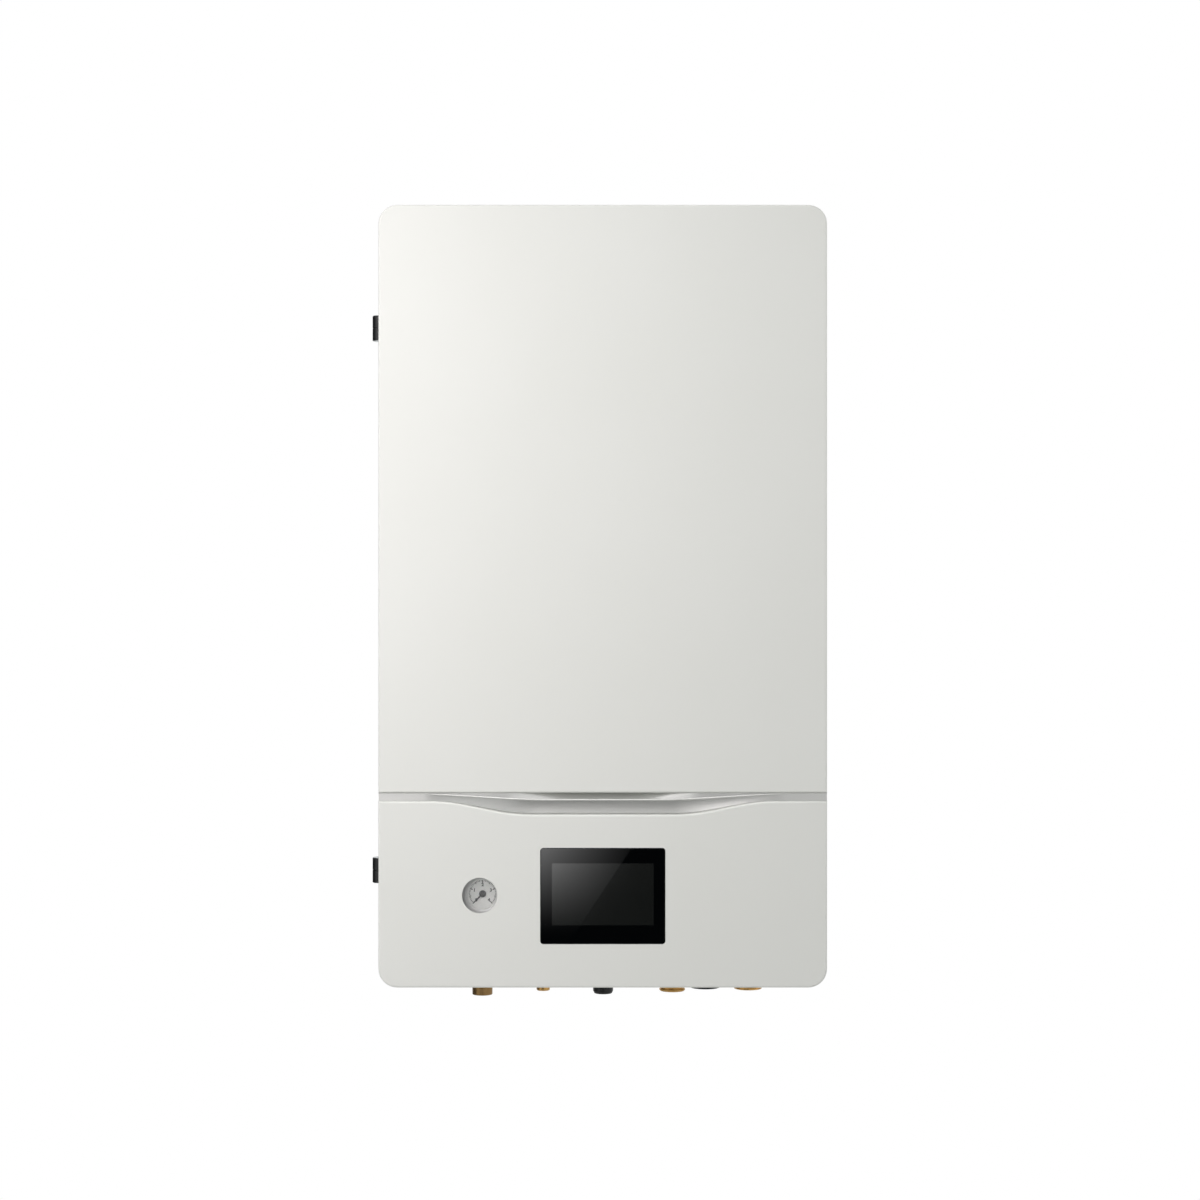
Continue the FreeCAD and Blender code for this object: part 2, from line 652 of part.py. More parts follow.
def lapped_plate(label, face, inward):
    """A flat top or bottom, flush between the side panels, whose edges lap under their folds."""
    body = new_body(label)
    gauge = s.sheet_gauge
    flush = s.flange_width + s.fit_gap
    lap = s.flange_width - s.lap_width
    level = face + inward * gauge
    inside = face + inward * 2 * gauge
    corners = [
        (LEFT + flush, face), (RIGHT - flush, face), (RIGHT - flush, level), (RIGHT - lap, level),
        (RIGHT - lap, inside), (LEFT + lap, inside), (LEFT + lap, level), (LEFT + flush, level),
    ]
    sketch = new_sketch(body, "front", s.wall_gap)
    draw_polygon(sketch, corners if inward > 0 else corners[::-1])
    pad(body, sketch, CASE_RUN)
    drill_for_screws(body, SCREW_X, (TOP if inward < 0 else FLOOR) + s.sheet_gauge)
    return body


lapped_plate("top_panel", TOP, -1)

# Bottom plate, with a hole for each connection and for the cables
bottom_plate = lapped_plate("bottom_plate", BOTTOM, 1)
holes = new_sketch(bottom_plate, "top", FLOOR + s.sheet_gauge)
for hole_x, hole_y, hole_radius in (
    (GAS_X, -s.pipe_depth, s.gas_thread / 2 + s.hole_gap),
    (LIQUID_X, -s.pipe_depth, s.liquid_thread / 2 + s.hole_gap),
    (DRAIN_X, -s.pipe_depth, s.drain_diameter / 2 + s.hole_gap),
    (RETURN_X, -s.pipe_depth, s.water_thread / 2 + s.hole_gap),
    (SUPPLY_X, -s.pipe_depth, s.water_thread / 2 + s.hole_gap),
    (CABLE_X, FRONT + s.cable_setback, s.grommet_neck / 2),
):
    draw_circle(holes, hole_x, hole_y, hole_radius)
pocket(bottom_plate, holes, 4 * s.sheet_gauge)


def inner_outline(body, plane_offset, inset=0):
    """A sketch of the casing's inside outline, drawn in by an inset."""
    edge = s.sheet_gauge + s.fit_gap + inset
    sketch = new_sketch(body, "front", plane_offset)
    radius = s.corner_radius - s.sheet_gauge - s.fit_gap
    if as_size(inset).value >= radius.value:
        radius = s.frame_corner
    draw_rectangle(sketch, (LEFT + edge, RIGHT - edge), (BOTTOM + edge + s.sheet_gauge, TOP - edge - s.sheet_gauge), radius)
    return sketch


# Back panel: a shallow pan that the bracket's hooks reach through
back_panel = new_body("back_panel")
pad(back_panel, inner_outline(back_panel, s.wall_gap), s.pan_depth)
pan = new_sketch(back_panel, "front", s.wall_gap + s.sheet_gauge)
rim = 2 * s.sheet_gauge + s.fit_gap
draw_rectangle(pan, (LEFT + rim, RIGHT - rim), (BOTTOM + rim + s.sheet_gauge, TOP - rim - s.sheet_gauge),
               s.corner_radius - rim)
pocket(back_panel, pan, s.pan_depth, reverse=True)
HOOK_TOP = s.bracket_height / 2
hook_slots = new_sketch(back_panel, "front", s.wall_gap + 2 * s.sheet_gauge)
for side in (-1, 1):
    middle = side * s.hook_spacing / 2
    half = s.hook_width / 2 + s.notch_gap
    draw_rectangle(hook_slots, (middle - half, middle + half), (HOOK_TOP - s.hook_rise - 3 * s.notch_gap, HOOK_TOP))
pocket(back_panel, hook_slots, 3 * s.sheet_gauge)

# Wall bracket: a screwed plate with two upturned hooks
wall_bracket = new_body("wall_bracket")
plate = new_sketch(wall_bracket, "front", 0)
draw_rectangle(plate, (-s.bracket_width / 2, s.bracket_width / 2), (-HOOK_TOP, HOOK_TOP), s.bracket_corner)
pad(wall_bracket, plate, s.bracket_gauge)
HOOK_INNER = INSIDE_BACK - s.fit_gap
HOOK_OUTER = HOOK_INNER - s.bracket_gauge
for side in (-1, 1):
    hook = new_sketch(wall_bracket, "side", side * s.hook_spacing / 2 - s.hook_width / 2)
    draw_polygon(hook, [
        (HOOK_OUTER, HOOK_TOP - s.bracket_gauge), (-s.bracket_gauge, HOOK_TOP - s.bracket_gauge),
        (-s.bracket_gauge, HOOK_TOP), (HOOK_INNER, HOOK_TOP),
        (HOOK_INNER, HOOK_TOP + s.hook_rise), (HOOK_OUTER, HOOK_TOP + s.hook_rise),
    ])
    pad(wall_bracket, hook, s.hook_width)
screw_slots = new_sketch(wall_bracket, "front", 2 * s.bracket_gauge)
for across in (-1, 1):
    for up in (-1, 1):
        draw_slot(screw_slots, across * s.screw_spacing / 2, up * s.screw_rise / 2, s.screw_slot, s.screw_hole)
pocket(wall_bracket, screw_slots, 3 * s.bracket_gauge)

# Buffers that keep the lower back off the wall
spacers = []
for side in (-1, 1):
    centre = (side * s.spacer_spacing / 2, BOTTOM + s.spacer_height)
    pad_end = taper("y", (BACK, BACK / 2), centre, s.spacer_diameter / 2, s.spacer_diameter / 2 - 1)
    foot = rod("y", (BACK / 2, 0), centre, s.spacer_diameter / 2 - 1)
    spacers.append(join(pad_end, foot))
keep("wall_spacers", group(*spacers))

# Front frame that the closed door meets, and its rubber seal
front_frame = new_body("front_frame")
pad(front_frame, inner_outline(front_frame, -CASE_FRONT - s.sheet_gauge), s.sheet_gauge)
pocket(front_frame, inner_outline(front_frame, -CASE_FRONT - 2 * s.sheet_gauge, s.frame_width), 4 * s.sheet_gauge,
       reverse=True)
notch_for_hinges(front_frame)
door_seal = new_body("door_seal")
pad(door_seal, inner_outline(door_seal, -CASE_FRONT, s.seal_inset), s.door_gap - s.seal_gap)
pocket(door_seal, inner_outline(door_seal, -CASE_FRONT - s.sheet_gauge, s.seal_inset + s.seal_width),
       2 * s.door_gap, reverse=True)


# Door: two folded panels, the grip rail between them, and the frame that ties them together
def lower_outline(inset=0):
    """The lower panel's corners: its top edge dips in the middle, below the grip."""
    side = inset
    top = STRIP_BOTTOM - inset
    dip = top - s.swoop_drop
    corner = s.corner_radius - inset
    return [
        (LEFT + side, BOTTOM + inset, corner), (RIGHT - side, BOTTOM + inset, corner), (RIGHT - side, top),
        (s.swoop_outer, top, SWOOP_RADIUS), (s.swoop_inner, dip, SWOOP_RADIUS),
        (-s.swoop_inner, dip, SWOOP_RADIUS), (-s.swoop_outer, top, SWOOP_RADIUS), (LEFT + side, top),
    ]


def upper_outline(inset=0):
    """The upper panel's corners."""
    corner = s.corner_radius - inset
    return [
        (LEFT + inset, STRIP_TOP + inset), (RIGHT - inset, STRIP_TOP + inset),
        (RIGHT - inset, TOP - inset, corner), (LEFT + inset, TOP - inset, corner),
    ]


DOOR_BASE = s.case_depth - s.door_depth


def door_panel(label, outline, open_edge):
    """A door panel: a pan open to the rear, whose edge along the grip is folded less deep."""
    body = new_body(label)
    outer = new_sketch(body, "front", DOOR_BASE)
    draw_polygon(outer, outline())
    pad(body, outer, s.door_depth)
    round_edges(body, s.edge_round, lambda edge: edge.BoundBox.YMax < FRONT.value + 0.01)
    inner = new_sketch(body, "front", DOOR_BASE)
    draw_polygon(inner, outline(s.door_sheet))
    pocket(body, inner, s.door_depth - s.door_sheet, reverse=True)
    back = new_sketch(body, "front", DOOR_BASE)
    draw_rectangle(back, (LEFT + s.door_sheet, RIGHT - s.door_sheet), open_edge)
    pocket(body, back, s.door_depth - s.strip_depth, reverse=True)
    notch_for_hinges(body)
    return body


door_panel("upper_front_panel", upper_outline, (STRIP_TOP - 1, STRIP_TOP + 2 * s.door_sheet))
lower_panel = door_panel("lower_front_panel", lower_outline,
                         (STRIP_BOTTOM - s.swoop_drop - 2 * s.door_sheet, STRIP_BOTTOM + 1))

# Openings in the lower panel for the display and for reading the gauge
DISPLAY_Z = BOTTOM + s.display_middle
GAUGE_Z = BOTTOM + s.gauge_height
windows = new_sketch(lower_panel, "front", s.case_depth + 1)
half_width = s.display_width / 2 + s.fit_gap
half_height = s.display_height / 2 + s.fit_gap
draw_rectangle(windows, (-half_width, half_width), (DISPLAY_Z - half_height, DISPLAY_Z + half_height),
               s.display_corner + s.fit_gap)
draw_circle(windows, GAUGE_X + s.hole_shift, GAUGE_Z, s.gauge_hole / 2)
pocket(lower_panel, windows, 2 * s.door_sheet + 1)

# Grip rail: a strip between the panels, hollowed out in the middle for the fingers
grip_blank = doc.addObject("PartDesign::Body", "grip_blank")
gap = s.joint_gap
low = STRIP_BOTTOM + gap
dip = low - s.swoop_drop
strip = new_sketch(grip_blank, "front", DOOR_BASE)
draw_polygon(strip, [
    (LEFT, low), (-s.swoop_outer, low, SWOOP_RADIUS), (-s.swoop_inner, dip, SWOOP_RADIUS),
    (s.swoop_inner, dip, SWOOP_RADIUS), (s.swoop_outer, low, SWOOP_RADIUS), (RIGHT, low),
    (RIGHT, STRIP_TOP - gap), (LEFT, STRIP_TOP - gap),
])
pad(grip_blank, strip, s.door_depth - s.strip_setback)
strip_back = new_sketch(grip_blank, "front", DOOR_BASE)
draw_rectangle(strip_back, (LEFT + s.door_sheet, RIGHT - s.door_sheet), (dip - 1, STRIP_TOP))
pocket(grip_blank, strip_back, s.door_depth - s.strip_depth, reverse=True)


def swoop_level(x):
    """How far down the dip is at a distance from the middle: 0 at its ends and 1 along its floor."""
    share = (s.swoop_outer.value - abs(x)) / (s.swoop_outer.value - s.swoop_inner.value)
    return min(1.0, max(0.0, share))


def scoop_section(x, share):
    """The hollow's outline at one place along the rail; share runs from 0 at its ends to 1 in the middle."""
    face = FRONT.value + s.strip_setback.value
    roof = STRIP_TOP.value - gap.value - 1.2 - (s.lip_height.value - 1.2) * share
    floor = dip.value + s.scoop_land.value + s.swoop_drop.value * (1 - swoop_level(x))
    depth = 0.6 + (s.grip_depth.value - 0.6) * share
    rise = roof - floor
    profile = [
        (face - 2, roof), (face + 0.6 * depth, roof), (face + depth, roof), (face + 1.1 * depth, roof - 0.4 * rise),
        (face + 0.7 * depth, roof - 0.8 * rise), (face - 2, floor),
    ]
    spots = [Vector(x, y, z) for y, z in profile]
    curve = Part.BSplineCurve()
    curve.buildFromPoles(spots, False, 3)
    return Part.Wire([curve.toShape(), Part.LineSegment(spots[-1], spots[0]).toShape()])


scoop_ends = ((172, 0.0), (150, 0.2), (128, 0.52), (106, 0.84), (88, 1.0), (45, 1.0))
scoop_stations = [(-x, share) for x, share in scoop_ends] + [(x, share) for x, share in reversed(scoop_ends)]
scoop = doc.addObject("Part::Feature", "Scoop")
scoop.Shape = Part.makeLoft([scoop_section(x, share) for x, share in scoop_stations], True)
grip_rail = keep("grip_rail", cut(grip_blank, scoop))

# Frame inside the door, with a rail across it behind the grip
door_frame = new_body("door_inner_frame")
edge = s.door_sheet + s.fit_gap
outer = new_sketch(door_frame, "front", DOOR_BASE)
draw_rectangle(outer, (LEFT + edge, RIGHT - edge), (BOTTOM + edge, TOP - edge), s.corner_radius - edge)
pad(door_frame, outer, s.sheet_gauge)
openings = new_sketch(door_frame, "front", DOOR_BASE + 2 * s.sheet_gauge)
rim = edge + s.frame_width
rail_low = STRIP_BOTTOM - s.swoop_drop - s.rail_overlap
rail_high = STRIP_TOP + s.rail_overlap
for span in ((BOTTOM + rim, rail_low), (rail_high, TOP - rim)):
    draw_rectangle(openings, (LEFT + rim, RIGHT - rim), span, s.frame_corner)
pocket(door_frame, openings, 3 * s.sheet_gauge)
notch_for_hinges(door_frame)

# Insulation behind the upper panel
PANEL_INSIDE = FRONT + s.door_sheet
margin = s.insulation_margin
keep("door_insulation", box((LEFT + margin, RIGHT - margin), (PANEL_INSIDE, PANEL_INSIDE + s.insulation_gauge),
                            (STRIP_TOP + margin, TOP - margin)))

# Display: glass flush with the panel, the screen and its board in a housing behind
display_glass = new_body("display_glass")
glass = new_sketch(display_glass, "front", s.case_depth - s.glass_gauge)
half_width = s.display_width / 2
half_height = s.display_height / 2
draw_rectangle(glass, (-half_width, half_width), (DISPLAY_Z - half_height, DISPLAY_Z + half_height),
               s.display_corner)
pad(display_glass, glass, s.glass_gauge)
GLASS_BACK = FRONT + s.glass_gauge
SCREEN_BACK = GLASS_BACK + s.screen_depth
HOUSING_BACK = GLASS_BACK + s.housing_depth
screen_x = s.screen_width / 2
screen_z = s.screen_height / 2
keep("display_screen", box((-screen_x, screen_x), (GLASS_BACK, SCREEN_BACK),
                           (DISPLAY_Z - screen_z, DISPLAY_Z + screen_z)))
housing_x = half_width + s.housing_rim
housing_z = half_height + s.housing_rim
housing = box((-housing_x, housing_x), (PANEL_INSIDE, HOUSING_BACK), (DISPLAY_Z - housing_z, DISPLAY_Z + housing_z))
glass_x = half_width + s.fit_gap
glass_z = half_height + s.fit_gap
glass_seat = box((-glass_x, glass_x), (PANEL_INSIDE - 1, GLASS_BACK), (DISPLAY_Z - glass_z, DISPLAY_Z + glass_z))
well_x = screen_x + s.fit_gap
well_z = screen_z + s.fit_gap
screen_well = box((-well_x, well_x), (GLASS_BACK - 1, HOUSING_BACK + 1), (DISPLAY_Z - well_z, DISPLAY_Z + well_z))
keep("display_housing", cut(housing, glass_seat, screen_well))

# Hinges: the upper half of each barrel turns with the door, the lower half stays with the casing
case_leaves, door_leaves, pins = [], [], []
pin_radius = s.hinge_pin / 2
hinge_spot = (HINGE_X, HINGE_Y)
for middle in HINGE_HEIGHTS:
    low = middle - s.hinge_height / 2
    high = middle + s.hinge_height / 2
    below = middle - s.knuckle_gap / 2
    above = middle + s.knuckle_gap / 2
    leaf_start = INSIDE_LEFT
    knuckle = rod("z", (low, below), hinge_spot, BARREL)
    leaf = box((leaf_start, leaf_start + s.hinge_leaf), (HINGE_Y, HINGE_Y + s.leaf_reach), (low, below))
    case_leaves.append(cut(join(knuckle, leaf), rod("z", (low - 1, high), hinge_spot, pin_radius)))
    leaf_start = LEFT + s.door_sheet
    knuckle = rod("z", (above, high), hinge_spot, BARREL)
    leaf = box((leaf_start, leaf_start + s.hinge_leaf), (HINGE_Y - s.leaf_reach, HINGE_Y), (above, high))
    bore = rod("z", (low, high + 1), hinge_spot, pin_radius + s.running_gap)
    door_leaves.append(cut(join(knuckle, leaf), bore))
    pins.append(rod("z", (low, high), hinge_spot, pin_radius))
keep("hinge_case_leaves", group(*case_leaves))
keep("hinge_door_leaves", group(*door_leaves))
keep("hinge_pins", group(*pins))


# Water circuit: levels that its pieces share
PIPE_Y = -s.pipe_depth
LOW_PIPE = BOTTOM + s.low_pipe_height
HIGH_PIPE = BOTTOM + s.high_pipe_height
PUMP_Z = BOTTOM + s.pump_height
PIPE = s.water_pipe / 2
BORE = PIPE - s.pipe_wall


def straight(axis, span, centre, outside, wall):
    """A straight pipe."""
    inner = as_size(outside) / 2 - wall
    return cut(rod(axis, span, centre, as_size(outside) / 2), rod(axis, (span[0] - 1, span[1] + 1), centre, inner))


# Connections under the casing
def flare_union(x, thread, drop, flats, pipe):
    """A brass flare stub through the bottom plate, with a cup that its copper pipe is brazed into."""
    spot = (x, PIPE_Y)
    end = BOTTOM - drop
    seat = FLOOR + s.fit_gap
    cup = seat + s.union_hex
    stub = rod("z", (end + s.thread_chamfer, cup), spot, thread / 2)
    nose = taper("z", (end, end + s.thread_chamfer), spot, thread / 2 - s.thread_chamfer, thread / 2)
    nut = hexagon("z", (seat, cup), spot, flats)
    lock = hexagon("z", (BOTTOM - s.locknut, BOTTOM), spot, thread + s.locknut_rim)
    collar = rod("z", (cup, cup + s.cup_depth), spot, pipe / 2 + s.cup_wall)
    bore = rod("z", (end - 1, cup), spot, pipe / 2 - s.pipe_wall)
    socket = rod("z", (cup, cup + s.cup_depth + 1), spot, pipe / 2)
    return cut(join(nose, stub, lock, nut, collar), bore, socket)


keep("flare_unions", group(
    flare_union(GAS_X, s.gas_thread, s.gas_drop, s.gas_flats, s.gas_pipe),
    flare_union(LIQUID_X, s.liquid_thread, s.liquid_drop, s.liquid_flats, s.liquid_pipe),
))
CUP_FLOOR = FLOOR + s.fit_gap + s.union_hex


def water_nipple(x, drop, nose_length):
    """A threaded stub through the bottom plate; a nose with rings stands below its thread."""
    spot = (x, PIPE_Y)
    end = BOTTOM - drop
    seat = FLOOR + s.fit_gap
    top = seat + s.nipple_hex
    thread = s.water_thread / 2
    pieces = [
        taper("z", (end + nose_length, end + nose_length + s.thread_chamfer), spot, thread - s.thread_chamfer, thread),
        rod("z", (end + nose_length + s.thread_chamfer, top), spot, thread),
        hexagon("z", (BOTTOM - s.locknut, BOTTOM), spot, s.water_thread + s.locknut_rim),
        hexagon("z", (seat, top), spot, s.nipple_flats),
        rod("z", (top, top + s.cup_depth), spot, PIPE + s.cup_wall),
    ]
    if nose_length > 0:
        nose = s.nose_diameter / 2
        for ring in range(3):
            low = end + ring * nose_length / 3
            pieces.append(rod("z", (low, low + nose_length / 6), spot, nose))
            pieces.append(rod("z", (low + nose_length / 6, low + nose_length / 3), spot, nose - s.nose_groove))
    return cut(join(*pieces), rod("z", (end - 1, top), spot, BORE), rod("z", (top, top + s.cup_depth + 1), spot, PIPE))


keep("water_return_nipple", water_nipple(RETURN_X, s.return_drop, s.nose_length.value))
keep("water_supply_nipple", water_nipple(SUPPLY_X, s.supply_drop, 0))
NIPPLE_TOP = FLOOR + s.fit_gap + s.nipple_hex

# Discharge spout of the safety valve
drain_spot = (DRAIN_X, PIPE_Y)
drain_end = BOTTOM - s.drain_drop
spout = s.drain_diameter / 2
tube_radius = s.discharge_tube / 2
DRAIN_SEAT = FLOOR + s.fit_gap
keep("drain_spigot", cut(
    join(
        taper("z", (drain_end, drain_end + 3), drain_spot, spout - 1.5, spout),
        rod("z", (drain_end + 3, DRAIN_SEAT + s.drain_collar), drain_spot, spout),
        rod("z", (BOTTOM - s.locknut, BOTTOM), drain_spot, spout + s.locknut_rim / 2),
        rod("z", (DRAIN_SEAT, DRAIN_SEAT + 3), drain_spot, spout + 5),
    ),
    rod("z", (drain_end - 1, DRAIN_SEAT), drain_spot, tube_radius - 1),
    rod("z", (DRAIN_SEAT, DRAIN_SEAT + s.drain_collar + 1), drain_spot, tube_radius),
))

# Grommet that the mains and control cables enter through
cable_spot = (CABLE_X, FRONT + s.cable_setback)
neck = s.grommet_neck / 2
keep("cable_grommet", cut(
    join(
        taper("z", (BOTTOM - s.grommet_drop, BOTTOM - s.grommet_drop / 2), cable_spot, s.grommet_disc / 2 - 2,
              s.grommet_disc / 2),
        rod("z", (BOTTOM - s.grommet_drop / 2, BOTTOM), cable_spot, s.grommet_disc / 2),
        rod("z", (BOTTOM, FLOOR), cable_spot, neck),
        rod("z", (FLOOR, FLOOR + 3), cable_spot, neck + 3),
    ),
    rod("z", (BOTTOM - s.grommet_drop - 1, FLOOR + 4), cable_spot, s.cable_bore / 2),
))

# Pump: volute in the upright line, motor towards the door
pump_line = (RETURN_X, PIPE_Y)
pump_axis = (RETURN_X, PUMP_Z)
VOLUTE_FRONT = PIPE_Y - s.volute_depth / 2
VOLUTE_BACK = PIPE_Y + s.volute_depth / 2
MOTOR_FRONT = CASE_FRONT + s.motor_clear
port_low = PUMP_Z - s.pump_ports / 2
port_high = PUMP_Z + s.pump_ports / 2
chamber = (VOLUTE_FRONT + s.pump_wall, VOLUTE_BACK - s.pump_wall)
keep("pump_volute", cut(
    join(
        rod("y", (VOLUTE_FRONT, VOLUTE_BACK), pump_axis, s.volute_diameter / 2),
        rod("z", (port_low, port_high), pump_line, PIPE + s.pump_wall),
        hexagon("z", (port_low, port_low + s.union_hex), pump_line, s.nipple_flats),
        hexagon("z", (port_high - s.union_hex, port_high), pump_line, s.nipple_flats),
    ),
    rod("y", chamber, pump_axis, s.impeller / 2 + 3),
    rod("y", (VOLUTE_FRONT - 1, PIPE_Y), pump_axis, s.pump_shaft),
    rod("z", (port_low - 1, port_high + 1), pump_line, BORE),
    rod("z", (port_low - 1, port_low + s.cup_depth), pump_line, PIPE),
    rod("z", (port_high - s.cup_depth, port_high + 1), pump_line, PIPE),
))
rotor_room = (MOTOR_FRONT + s.bearing_length, VOLUTE_FRONT - s.bearing_length)
journal = s.pump_shaft / 2
keep("pump_motor", cut(
    join(
        rod("y", (MOTOR_FRONT, VOLUTE_FRONT - s.motor_flange), pump_axis, s.motor_diameter / 2),
        rod("y", (VOLUTE_FRONT - s.motor_flange, VOLUTE_FRONT), pump_axis, s.volute_diameter / 2),
    ),
    rod("y", rotor_room, pump_axis, s.motor_diameter / 2 - s.stator_wall),
    rod("y", (MOTOR_FRONT + 2, VOLUTE_FRONT + 1), pump_axis, journal + s.running_gap),
))
keep("pump_rotor", join(
    rod("y", (chamber[0] + 2, chamber[1] - 2), pump_axis, s.impeller / 2),
    rod("y", (MOTOR_FRONT + 3, chamber[0] + 2), pump_axis, journal),
    rod("y", (rotor_room[0] + 1, rotor_room[1] - 1), pump_axis, s.motor_diameter / 2 - s.stator_wall - 1),
))
head = s.head_width / 2
pump_head = new_body("pump_control_head")
head_face = new_sketch(pump_head, "front", -MOTOR_FRONT)
draw_rectangle(head_face, (RETURN_X - head, RETURN_X + head), (PUMP_Z - head, PUMP_Z + head), s.head_corner)
pad(pump_head, head_face, s.head_depth)
round_edges(pump_head, s.edge_round, lambda edge: edge.BoundBox.YMax < MOTOR_FRONT.value - s.head_depth.value + 0.01)

# Plate heat exchanger: a stack of plates between two end plates, with four ports on its right
EX_LEFT = EXCHANGER_X - s.exchanger_stack / 2
EX_RIGHT = EXCHANGER_X + s.exchanger_stack / 2
EX_BACK = PIPE_Y + s.port_spacing + s.port_margin
EX_FRONT = PIPE_Y - s.port_margin
GAS_Y = PIPE_Y + s.port_spacing
ex_z = (LOW_PIPE - s.port_margin, HIGH_PIPE + s.port_margin)
plate_gauge = s.end_plate
PORT_END = EX_RIGHT + s.port_length
stack = [
    box((EX_LEFT + plate_gauge, EX_RIGHT - plate_gauge), (EX_FRONT + 2, EX_BACK - 2), (ex_z[0] + 2, ex_z[1] - 2)),
    box((EX_LEFT, EX_LEFT + plate_gauge), (EX_FRONT, EX_BACK), ex_z),
    box((EX_RIGHT - plate_gauge, EX_RIGHT), (EX_FRONT, EX_BACK), ex_z),
]
ports = []
for port_y, port_z, pipe in (
    (PIPE_Y, LOW_PIPE, s.water_pipe), (PIPE_Y, HIGH_PIPE, s.water_pipe),
    (GAS_Y, HIGH_PIPE, s.gas_pipe), (GAS_Y, LOW_PIPE, s.liquid_pipe),
):
    spot = (port_y, port_z)
    stack.append(rod("x", (EX_RIGHT, PORT_END), spot, pipe / 2 + s.cup_wall))
    ports.append(rod("x", (PORT_END - s.cup_depth, PORT_END + 1), spot, pipe / 2))
    ports.append(rod("x", (EX_LEFT + plate_gauge + 4, PORT_END), spot, pipe / 2 - s.pipe_wall))
keep("plate_heat_exchanger", cut(join(*stack), *ports))

# Heater tank on the supply side, with its screwed-in element
tank_line = (SUPPLY_X, PIPE_Y)
tank = s.tank_diameter / 2
TANK_TOP = HIGH_PIPE + s.tank_head
TANK_BOTTOM = TANK_TOP - s.tank_length
TANK_PORT = SUPPLY_X - tank - s.port_length
element_hole = s.element_thread / 2
tank_solid = join(
    taper("z", (TANK_BOTTOM, TANK_BOTTOM + s.tank_dome), tank_line, tank - s.tank_dome, tank),
    rod("z", (TANK_BOTTOM + s.tank_dome, TANK_TOP - s.tank_dome), tank_line, tank),
    taper("z", (TANK_TOP - s.tank_dome, TANK_TOP), tank_line, tank, tank - s.tank_dome),
    rod("z", (TANK_BOTTOM - s.port_length, TANK_BOTTOM), tank_line, PIPE + s.cup_wall),
    rod("x", (TANK_PORT, SUPPLY_X), (PIPE_Y, HIGH_PIPE), PIPE + s.cup_wall),
)
tank_room = join(
    rod("z", (TANK_BOTTOM + s.tank_dome, TANK_TOP - s.tank_dome), tank_line, tank - s.tank_wall),
    rod("z", (TANK_BOTTOM + s.tank_wall, TANK_TOP - s.tank_wall), tank_line, tank - s.tank_dome - s.tank_wall),
)
keep("heater_tank", cut(
    tank_solid, tank_room,
    rod("z", (TANK_TOP - s.tank_dome, TANK_TOP + 1), tank_line, element_hole),
    rod("z", (TANK_BOTTOM - s.port_length - 1, TANK_BOTTOM + s.tank_dome), tank_line, BORE),
    rod("z", (TANK_BOTTOM - s.port_length - 1, TANK_BOTTOM - s.port_length + s.cup_depth), tank_line, PIPE),
    rod("x", (TANK_PORT - 1, SUPPLY_X), (PIPE_Y, HIGH_PIPE), BORE),
    rod("x", (TANK_PORT - 1, TANK_PORT + s.cup_depth), (PIPE_Y, HIGH_PIPE), PIPE),
))
element = [
    rod("z", (TANK_TOP - s.tank_dome, TANK_TOP), tank_line, element_hole),
    hexagon("z", (TANK_TOP, TANK_TOP + s.element_hex), tank_line, s.element_flats),
    rod("z", (TANK_TOP + s.element_hex, TANK_TOP + s.element_hex + s.element_cap), tank_line, element_hole),
]
for side in (-1, 1):
    leg = (SUPPLY_X + side * s.element_pitch / 2, PIPE_Y)
    element.append(rod("z", (TANK_TOP - s.tank_dome - s.element_reach, TANK_TOP - s.tank_dome), leg, s.element_rod / 2))
keep("heater_element", join(*element))

# Pipes between them
pump_outlet = port_high - s.cup_depth
SENSOR_Z = PUMP_Z
sensor_low = SENSOR_Z - s.sensor_length / 2
sensor_high = SENSOR_Z + s.sensor_length / 2
keep("low_water_pipe", tube([
    (RETURN_X, PIPE_Y, pump_outlet), (RETURN_X, PIPE_Y, LOW_PIPE), (PORT_END - s.cup_depth, PIPE_Y, LOW_PIPE),
], s.water_pipe, s.pipe_wall, s.water_bend))
keep("high_water_pipe", straight("x", (PORT_END - s.cup_depth, TANK_PORT + s.cup_depth), (PIPE_Y, HIGH_PIPE),
                                 s.water_pipe, s.pipe_wall))
keep("riser_pipes", group(
    straight("z", (NIPPLE_TOP, port_low + s.cup_depth), pump_line, s.water_pipe, s.pipe_wall),
    straight("z", (NIPPLE_TOP, sensor_low + s.cup_depth), tank_line, s.water_pipe, s.pipe_wall),
    straight("z", (sensor_high - s.cup_depth, TANK_BOTTOM - s.port_length + s.cup_depth), tank_line,
             s.water_pipe, s.pipe_wall),
))
keep("flow_sensor", cut(
    join(
        rod("z", (sensor_low, sensor_high), tank_line, PIPE + s.pump_wall),
        box((SUPPLY_X - PIPE, SUPPLY_X + PIPE), (PIPE_Y - s.sensor_reach, PIPE_Y),
            (SENSOR_Z - PIPE, SENSOR_Z + PIPE)),
    ),
    rod("z", (sensor_low - 1, sensor_high + 1), tank_line, BORE),
    rod("z", (sensor_low - 1, sensor_low + s.cup_depth), tank_line, PIPE),
    rod("z", (sensor_high - s.cup_depth, sensor_high + 1), tank_line, PIPE),
))
GAS_RISER = PORT_END + s.gas_riser
LIQUID_RISER = PORT_END + s.liquid_riser
gas_turn = BOTTOM + s.gas_turn_height
liquid_turn = BOTTOM + s.liquid_turn_height
